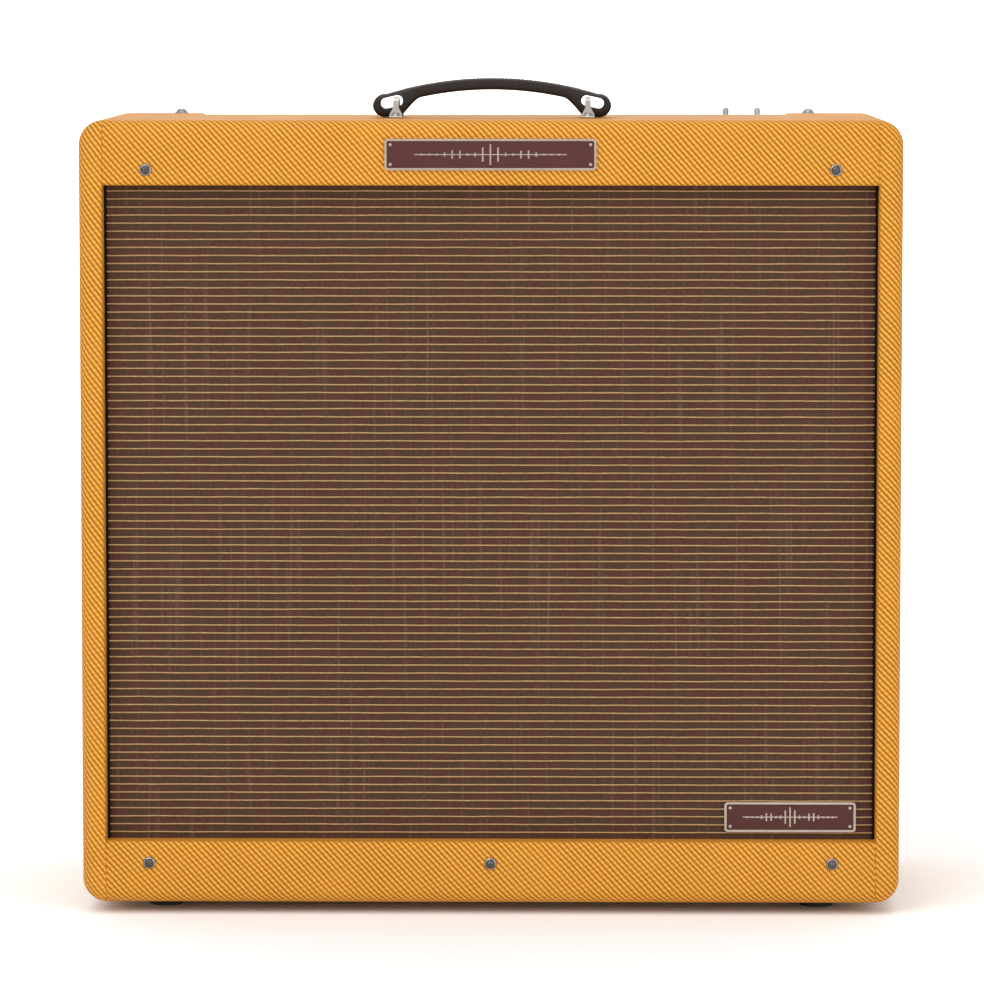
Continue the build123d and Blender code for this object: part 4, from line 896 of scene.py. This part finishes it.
def stripe_tree():
    """Threads that run across the cloth at an even pitch and wander a little."""
    tree, given, end = geometry_tree("Grille stripes", (
        ("Low Corner", VECTOR), ("Width", FLOAT), ("Count", COUNT), ("Pitch", FLOAT),
        ("Thread Radius", FLOAT), ("Samples", COUNT), ("Wander", FLOAT), ("Seed", FLOAT),
        ("Finish", FINISH)))
    line = tree.wired("GeometryNodeCurvePrimitiveLine", {"End": tree.join(given["Width"], 0.0, 0.0)})
    run = tree.wired("GeometryNodeResampleCurve", {"Curve": line[0], "Count": given["Samples"]})
    rows = tree.wired("GeometryNodeMeshLine", {
        "Count": given["Count"], "Start Location": given["Low Corner"],
        "Offset": tree.join(0.0, 0.0, given["Pitch"])}, mode="OFFSET")
    spread = tree.wired("GeometryNodeInstanceOnPoints", {"Points": rows[0], "Instance": run[0]})
    threads = tree.wired("GeometryNodeRealizeInstances", {"Geometry": spread[0]})
    place = tree.node("GeometryNodeInputPosition").outputs[0]
    wave = tree.wired("ShaderNodeTexNoise", {
        "Vector": tree.scaled(place, (1.0, 1.0, 6.0)), "W": given["Seed"], "Scale": 34.0},
        noise_dimensions="4D")
    drift = tree.times(tree.minus(wave[0], 0.5), given["Wander"])
    moved = tree.wired("GeometryNodeSetPosition", {
        "Geometry": threads[0], "Offset": tree.join(0.0, tree.times(drift, 0.25), drift)})
    ring = tree.wired("GeometryNodeCurvePrimitiveCircle", {
        "Resolution": 6, "Radius": given["Thread Radius"]})
    tube = tree.wired("GeometryNodeCurveToMesh", {
        "Curve": moved[0], "Profile Curve": ring[0], "Fill Caps": True})
    tree.dressed(tube[0], given["Finish"], end)
    return tree.tree


# ---------------------------------------------------------------- handle


STRAP_TOP, STRAP_TOP_RADIUS = 29 * MM, 272.0 * MM
STRAP_UNDER, STRAP_UNDER_RADIUS = 20.5 * MM, 248.0 * MM
STRAP_END = 8.6 * MM
STRAP_GAP = 0.35 * MM
DIP_START, DIP_LENGTH, DIP_POWER = 53 * MM, 14.5 * MM, 1.6
HALF_GRIP, END_FLARE = 11.5 * MM, 2.45 * MM
FLARE_START, FLARE_END = 46 * MM, 70 * MM
SIDE_ROUNDING, TOP_ROUNDING = 0.36, 0.42
SLOT_X, SLOT_RISE, SLOT_TILT = 74.2 * MM, 11.5 * MM, 13
SLOT_RADIUS, SLOT_HALF_LENGTH = 4, 4.5 * MM
STITCH_REACH, STITCH_ASIDE, STITCH_SINK = 64 * MM, 8.2 * MM, 0.10 * MM


def ease(value, low, high):
    """0 below low, 1 above high, and a smooth change between."""
    share = min(1.0, max(0.0, (value - low) / (high - low)))
    return share * share * (3 - 2 * share)


def strap_section(x):
    """Underside, top and half width of the handle's strap at a distance from its middle."""
    x = abs(x)
    end = HANDLE_HIGH.x - STRAP_END - 0.05 * MM
    top = STRAP_TOP - STRAP_TOP_RADIUS + sqrt(STRAP_TOP_RADIUS**2 - x**2)
    under = STRAP_UNDER - STRAP_UNDER_RADIUS + sqrt(STRAP_UNDER_RADIUS**2 - x**2)
    share = min(1.0, max(0.0, (x - DIP_START) / DIP_LENGTH))
    under += (STRAP_GAP - under) * share**DIP_POWER
    if x > end:
        rise = sqrt(max(0.0, STRAP_END**2 - (x - end) ** 2))
        top, under = STRAP_END + STRAP_GAP + rise, STRAP_END + STRAP_GAP - rise
    half = HALF_GRIP + END_FLARE * ease(x, FLARE_START, FLARE_END)
    return under, min(top, STRAP_TOP), half


def strap_mesh():
    """The strap as rounded sections along its arch."""
    reach = HANDLE_HIGH.x - 0.06 * MM
    count, points = 120, 36
    verts = []
    for number in range(count + 1):
        x = reach * sin(pi / 2 * (2 * number / count - 1))
        under, top, half = strap_section(x)
        for point in range(points):
            turn = TAU * point / points
            wide = abs(cos(turn)) ** SIDE_ROUNDING * (1 if cos(turn) > 0 else -1)
            tall = abs(sin(turn)) ** TOP_ROUNDING * (1 if sin(turn) > 0 else -1)
            z = COVER_HIGH.z + (under + top) / 2 + tall * (top - under) / 2
            verts.append((x, HANDLE_Y + wide * half, z))
    return plain_mesh("handle_strap", verts, tube_faces(count + 1, points), 0.005 * MM)


def slot_cutter(sign):
    """A tilted slot that flares at both faces of the strap."""
    tilt = radians(-SLOT_TILT * sign)
    verts = []
    rings = ((-17, 1.9), (-12.6, 0.0), (12.6, 0.0), (17, 1.9))
    points = 28
    for y, flare in rings:
        for point in range(points):
            turn = TAU * point / points
            radius = (SLOT_RADIUS + flare) * MM
            u = radius * cos(turn) + (SLOT_HALF_LENGTH if cos(turn) >= 0 else -SLOT_HALF_LENGTH)
            v = radius * sin(turn)
            verts.append((sign * SLOT_X + u * cos(tilt) - v * sin(tilt), HANDLE_Y + y * MM,
                          COVER_HIGH.z + SLOT_RISE + u * sin(tilt) + v * cos(tilt)))
    faces = tube_faces(len(rings), points)
    return linked("slot_cutter", plain_mesh("slot_cutter", verts, faces, 0.001 * MM))


def stitch_tree():
    """Stitches along an arc, each a short rounded bar that leans with the seam."""
    tree, given, end = geometry_tree("Strap stitches", (
        ("Start", VECTOR), ("Middle", VECTOR), ("End", VECTOR), ("Count", COUNT),
        ("Stitch Length", FLOAT), ("Stitch Radius", FLOAT), ("Finish", FINISH)))
    arc = tree.wired("GeometryNodeCurveArc", {
        "Start": given["Start"], "Middle": given["Middle"], "End": given["End"], "Resolution": 64},
        mode="POINTS")
    seam = tree.wired("GeometryNodeCurveToPoints", {"Curve": arc["Curve"], "Count": given["Count"]},
                      mode="COUNT")
    bar = tree.wired("GeometryNodeMeshUVSphere", {
        "Segments": 6, "Rings": 5, "Radius": given["Stitch Radius"]})
    stretch = tree.over(given["Stitch Length"], tree.times(given["Stitch Radius"], 2.0))
    long = tree.wired("GeometryNodeTransform", {
        "Geometry": bar[0], "Scale": tree.join(1.0, 1.0, stretch)})
    spread = tree.wired("GeometryNodeInstanceOnPoints", {
        "Points": seam["Points"], "Instance": long[0], "Rotation": seam["Rotation"]})
    tree.dressed(spread[0], given["Finish"], end)
    return tree.tree


# ---------------------------------------------------------------- printed marks


MARK_WIDTH = 0.65 * MM
PRINT_RISE = 0.06 * MM
LEFT, FRONT, UP = (-1, 0, 0), (0, -1, 0), (0, 0, 1)


def bar_outline(start, end, width):
    """Outline of a bar with round ends between two points of a plane."""
    run = Vector(end) - Vector(start)
    heading = atan2(run.y, run.x)
    outline = []
    for centre, first in ((end, heading - pi / 2), (start, heading + pi / 2)):
        for step in range(6):
            turn = first + step * pi / 5
            outline.append((centre[0] + width / 2 * cos(turn), centre[1] + width / 2 * sin(turn)))
    return outline


def raised(outlines, origin, right, up, height):
    """Points and faces of flat marks that stand a little off a surface."""
    normal = Vector(right).cross(Vector(up))
    verts, faces = [], []
    for outline in outlines:
        first, count = len(verts), len(outline)
        for lift in (0.0, height):
            for u, v in outline:
                verts.append(Vector(origin) + u * Vector(right) + v * Vector(up) + lift * normal)
        faces.append([first + count + step for step in range(count)])
        faces.append([first + count - 1 - step for step in range(count)])
        for step in range(count):
            after = (step + 1) % count
            faces.append([first + step, first + after, first + count + after, first + count + step])
    return verts, faces


def digits(text, size, origin, right, up, height):
    """Points and faces of a number that stands a little off a surface."""
    curve = bpy.data.curves.new("digits", "FONT")
    curve.body = text
    curve.size = size
    curve.align_x = "CENTER"
    curve.align_y = "CENTER"
    curve.resolution_u = 2
    curve.offset = 0.08 * MM
    curve.extrude = height / 2
    holder = linked("digits", curve)
    mesh = bpy.data.meshes.new_from_object(holder.evaluated_get(bpy.context.evaluated_depsgraph_get()))
    normal = Vector(right).cross(Vector(up))
    verts = []
    for vertex in mesh.vertices:
        x, y, z = vertex.co
        verts.append(Vector(origin) + x * Vector(right) + y * Vector(up) + (z + height / 2) * normal)
    faces = [list(polygon.vertices) for polygon in mesh.polygons]
    bpy.data.objects.remove(holder)
    return verts, faces


def dial(origin, right, up, spread, count, inner, outer, size=0.0):
    """Marks round a knob, with numbers outside them where a size is given."""
    parts = []
    for number in range(count):
        turn = radians(-spread + 2 * spread * number / (count - 1))
        heading = (sin(turn), cos(turn))
        start = (inner * heading[0], inner * heading[1])
        end = (outer * heading[0], outer * heading[1])
        parts.append(raised([bar_outline(start, end, MARK_WIDTH)], origin, right, up, PRINT_RISE))
        if size:
            away = outer + 0.75 * size
            place = Vector(origin) + away * heading[0] * Vector(right) + away * heading[1] * Vector(up)
            parts.append(digits(str(number + 1), size, place, right, up, PRINT_RISE))
    return joined(parts)


def pointer(name, outline, origin, up, height):
    """Put a white line on a knob."""
    mesh = plain_mesh("pointer", *raised([outline], origin, LEFT, up, height))
    add_piece("pointer_" + name, mesh, "white", "knob_" + name, crease=40)


# ---------------------------------------------------------------- operators


def dress(table):
    """Give CAD nodes the finishes that a table names."""
    for finish_name, nodes in table.items():
        for name in nodes:
            shown = NODES[name]
            shown.data.materials.clear()
            shown.data.materials.append(FINISHES[finish_name])


SPEAKERS = ("upper_left", "upper_right", "lower_left", "lower_right")
TOP_KNOBS = ("presence", "middle", "bass", "treble", "volume_bright", "volume_normal")


class AMP_OT_finishes(bpy.types.Operator):
    """Build every cloth, metal, timber and plastic finish"""

    bl_idname = "amp.finishes"
    bl_label = "Finishes"

    def execute(self, context):
        build_groups()
        FINISHES.update(build_materials())
        return {"FINISHED"}


class AMP_OT_tweed_cover(bpy.types.Operator):
    """Cover the cabinet in lacquered tweed"""

    bl_idname = "amp.tweed_cover"
    bl_label = "Tweed cover"

    def execute(self, context):
        cover = add_piece("tweed_cover", cover_mesh(), "tweed", "cabinet", crease=50)
        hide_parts("tweed_covering")
        dress({"tweed_back": ["back_panel_tweed"]})
        return {"FINISHED"}


class AMP_OT_grille(bpy.types.Operator):
    """Stretch the striped cloth over the baffle"""

    bl_idname = "amp.grille"
    bl_label = "Grille cloth"

    def execute(self, context):
        given = settings()
        cloth = add_piece("grille_sheet", grille_mesh(), "grille", "cabinet")
        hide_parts("grille_cloth")
        pitch = given.stripe_pitch
        count = int((given.opening_high - given.opening_low + 0.6 * pitch) / pitch) + 1
        width = 2 * given.opening_half - 4.0 * MM
        low_corner = (-width / 2, CLOTH_LOW.y - 0.15 * MM, stripe_low())
        threads = grown(
            "grille_stripes", stripe_tree(), low_corner=low_corner, width=width, count=count,
            pitch=pitch, thread_radius=THREAD_RADIUS, samples=120, wander=THREAD_WANDER, seed=4.0,
            finish=FINISHES["thread"])
        stripes = add_piece("grille_stripes", threads, "thread", "cabinet")
        return {"FINISHED"}


class AMP_OT_cabinet(bpy.types.Operator):
    """Finish the boards, panels, feet and fastenings"""

    bl_idname = "amp.cabinet"
    bl_label = "Cabinet and fastenings"

    def execute(self, context):
        dress({
            "pine_x": ["top_board", "bottom_board", "front_top_panel", "front_bottom_rail"],
            "pine_z": ["left_board", "right_board", "cleats"],
            "ply": ["baffle_board", "upper_back_panel", "lower_back_panel"],
            "screw": ["panel_screws"],
            "washer": ["finishing_washers", "chassis_bolts", "bracket_screws"],
            "nickel": ["handle_brackets", "speaker_bolts"],
            "rubber": ["feet"],
            "badge_main": ["badge_main"],
            "badge_grille": ["badge_grille"],
        })
        return {"FINISHED"}


class AMP_OT_handle(bpy.types.Operator):
    """Make the carrying handle with its slots and stitching"""

    bl_idname = "amp.handle"
    bl_label = "Carrying handle"

    def execute(self, context):
        draft = linked("handle_draft", strap_mesh())
        cutters = [slot_cutter(sign) for sign in (-1, 1)]
        for cutter in cutters:
            cut = draft.modifiers.new("Slot", "BOOLEAN")
            cut.operation = "DIFFERENCE"
            cut.object = cutter
        mesh = bpy.data.meshes.new_from_object(draft.evaluated_get(context.evaluated_depsgraph_get()))
        for spare in [draft, *cutters]:
            bpy.data.objects.remove(spare)
        mesh.materials.clear()
        strap = add_piece("handle_strap", mesh, "handle", "handle", crease=32)
        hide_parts("handle")
        tree = stitch_tree()
        for name, sign in (("front", -1), ("back", 1)):
            y = HANDLE_Y + sign * STITCH_ASIDE
            end_z = COVER_HIGH.z + strap_section(STITCH_REACH)[1] - STITCH_SINK
            peak = COVER_HIGH.z + strap_section(0.0)[1] - STITCH_SINK
            row = grown(
                "handle_stitches", tree, start=(-STITCH_REACH, y, end_z), middle=(0.0, y, peak),
                end=(STITCH_REACH, y, end_z), count=44, stitch_length=2.3 * MM,
                stitch_radius=0.32 * MM, finish=FINISHES["stitch"])
            add_piece("handle_stitches_" + name, row, "stitch", "handle")
        return {"FINISHED"}


class AMP_OT_controls(bpy.types.Operator):
    """Finish the chassis and its controls, and print the marks round the knobs"""

    bl_idname = "amp.controls"
    bl_label = "Controls"

    def execute(self, context):
        dress({
            "zinc": ["chassis_tray", "chassis_cover", "rear_plate"],
            "panel": ["control_panel"],
            "chrome": ["toggle_switches", "lamp_bezel"],
            "washer": ["bat_power", "bat_standby", "bat_ground_lift"],
            "nickel": ["pots"],
            "black": ["jack_sockets", "power_inlet", "signal_sockets", "rear_controls", "knob_level",
                      "knob_selector"] + ["knob_" + name for name in TOP_KNOBS],
            "jewel": ["lamp_jewel"],
            "board": ["main_board", "power_supply", "amplifier_module"],
            "lead": ["speaker_leads"],
        })
        dials = []
        for name in TOP_KNOBS:
            low, high = corners("knob_" + name)
            x = (low.x + high.x) / 2
            y = low.y + 15 * MM
            dials.append(dial(
                (x, y, PANEL_HIGH.z), LEFT, FRONT, 150, 12, 10.8 * MM, 12.8 * MM, 3.3 * MM))
            outline = bar_outline((0, 1.0 * MM), (0, 14.0 * MM), 0.9 * MM)
            pointer(name, outline, (x, y, high.z), FRONT, 0.12 * MM)
        mesh = plain_mesh("panel_print", *joined(dials))
        add_piece("panel_print", mesh, "ink", "cabinet", crease=40)
        plate_y = corners("rear_plate")[1].y
        marks = []
        for name, spread, count in (("level", 150, 11), ("selector", 75, 6)):
            low, high = corners("knob_" + name)
            x, z = (low.x + high.x) / 2, (low.z + high.z) / 2
            marks.append(dial((x, plate_y, z), LEFT, UP, spread, count, 9.2 * MM, 10.8 * MM))
            outline = bar_outline((0, 1.5 * MM), (0, 6.2 * MM), 0.8 * MM)
            pointer(name, outline, (x, high.y - 0.35 * MM, z), UP, 0.1 * MM)
        mesh = plain_mesh("plate_print", *joined(marks))
        add_piece("plate_print", mesh, "ink", "cabinet", crease=40)
        return {"FINISHED"}


class AMP_OT_loudspeakers(bpy.types.Operator):
    """Finish the four loudspeakers"""

    bl_idname = "amp.loudspeakers"
    bl_label = "Loudspeakers"

    def execute(self, context):
        dress({
            "basket": ["speaker_frame_" + name for name in SPEAKERS],
            "cone": ["speaker_cone_" + name for name in SPEAKERS],
            "can": ["speaker_magnets"],
        })
        return {"FINISHED"}


FLOOR_HALF, BEND_START, BEND_RADIUS, WALL_HEIGHT = 9.0, 3.0, 3.0, 9.0
AIM = (0, 0, 0.30)
LIGHTS = (
    ("Key", (-1.3, -2.4, 2.1), AIM, (1.8, 1.8), 34),
    ("Fill", (1.7, -2.4, 0.6), AIM, (1.6, 1.6), 20),
    ("Top", (0.0, -0.5, 2.4), AIM, (2.0, 1.4), 11),
    ("Backdrop", (0.0, 2.6, 2.6), (0, 6.0, 1.2), (4.0, 1.5), 160),
)
CAMERA_PLACE = (0.0523, -4.000, 0.6599 + COVER_LOW.z)
CAMERA_YAW, CAMERA_PITCH = radians(-0.758), radians(-4.966)


def stage_mesh():
    """A floor that curves up into a backdrop."""
    profile = [(-FLOOR_HALF, 0.0), (BEND_START, 0.0)]
    for step in range(1, 13):
        turn = step * pi / 24
        profile.append((BEND_START + BEND_RADIUS * sin(turn), BEND_RADIUS * (1 - cos(turn))))
    profile.append((BEND_START + BEND_RADIUS, WALL_HEIGHT))
    verts, faces = [], []
    for y, z in profile:
        verts.extend([(-FLOOR_HALF, y, z), (FLOOR_HALF, y, z)])
    for step in range(len(profile) - 1):
        first = 2 * step
        faces.append((first, first + 1, first + 3, first + 2))
    return plain_mesh("studio_floor", verts, faces)


def area_light(name, place, aim, size, energy):
    """A soft rectangular light that points at a place."""
    light = bpy.data.lights.new(name, "AREA")
    light.shape = "RECTANGLE"
    light.size, light.size_y = size
    light.energy = energy
    holder = linked(name, light)
    holder.location = place
    holder.rotation_euler = (Vector(aim) - Vector(place)).to_track_quat("-Z", "Y").to_euler()


class AMP_OT_stage(bpy.types.Operator):
    """Set up the pale floor, the soft lights and the camera"""

    bl_idname = "amp.stage"
    bl_label = "Stage"

    def execute(self, context):
        scene = context.scene
        floor = linked("studio_floor", stage_mesh())
        pale, tree, shader = material("Pale floor", 0.7)
        tone = tree.noise(tree.objects(), 3.0, 2.0)
        finish(tree, shader, tree.mix(tone, (0.955, 0.955, 0.95), (0.985, 0.985, 0.98)))
        floor.data.materials.append(pale)

        world = bpy.data.worlds.new("Studio")
        scene.world = world
        world.use_nodes = True
        sky = world.node_tree.nodes["Background"]
        sky.inputs["Color"].default_value = (1, 1, 1, 1)
        sky.inputs["Strength"].default_value = 0.9
        for light in LIGHTS:
            area_light(*light)
        scene.view_settings.view_transform = "Standard"

        lens = bpy.data.cameras.new("Camera")
        lens.sensor_width = 36.0
        lens.lens = 195.8
        lens.shift_y = -0.03
        lens.clip_end = 60.0
        camera = linked("Camera", lens)
        camera.location = CAMERA_PLACE
        yaw, pitch = CAMERA_YAW, CAMERA_PITCH
        heading = Vector((sin(yaw) * cos(pitch), cos(yaw) * cos(pitch), sin(pitch)))
        camera.rotation_euler = heading.to_track_quat("-Z", "Y").to_euler()
        scene.camera = camera
        return {"FINISHED"}


class AMP_PT_panel(bpy.types.Panel):
    """Steps that dress the amplifier, in order"""

    bl_idname = "AMP_PT_panel"
    bl_label = "Amplifier"
    bl_space_type = "VIEW_3D"
    bl_region_type = "UI"
    bl_category = "Amplifier"

    def draw(self, context):
        for name in AmpSettings.__annotations__:
            self.layout.prop(context.scene.amp_settings, name)
        for operator in OPERATORS:
            self.layout.operator(operator.bl_idname)


OPERATORS = (
    AMP_OT_finishes,
    AMP_OT_tweed_cover,
    AMP_OT_grille,
    AMP_OT_cabinet,
    AMP_OT_handle,
    AMP_OT_controls,
    AMP_OT_loudspeakers,
    AMP_OT_stage,
)


def register():
    """Add the settings, the operators and the panel."""
    for kind in (AmpSettings, *OPERATORS, AMP_PT_panel):
        bpy.utils.register_class(kind)
    bpy.types.Scene.amp_settings = bpy.props.PointerProperty(type=AmpSettings)


def unregister():
    """Remove what register added."""
    del bpy.types.Scene.amp_settings
    for kind in (AMP_PT_panel, *reversed(OPERATORS), AmpSettings):
        bpy.utils.unregister_class(kind)


def main():
    """Dress the amplifier."""
    register()
    bpy.ops.amp.finishes()
    bpy.ops.amp.tweed_cover()
    bpy.ops.amp.grille()
    bpy.ops.amp.cabinet()
    bpy.ops.amp.handle()
    bpy.ops.amp.controls()
    bpy.ops.amp.loudspeakers()
    bpy.ops.amp.stage()


if __name__ == "__main__":
    main()
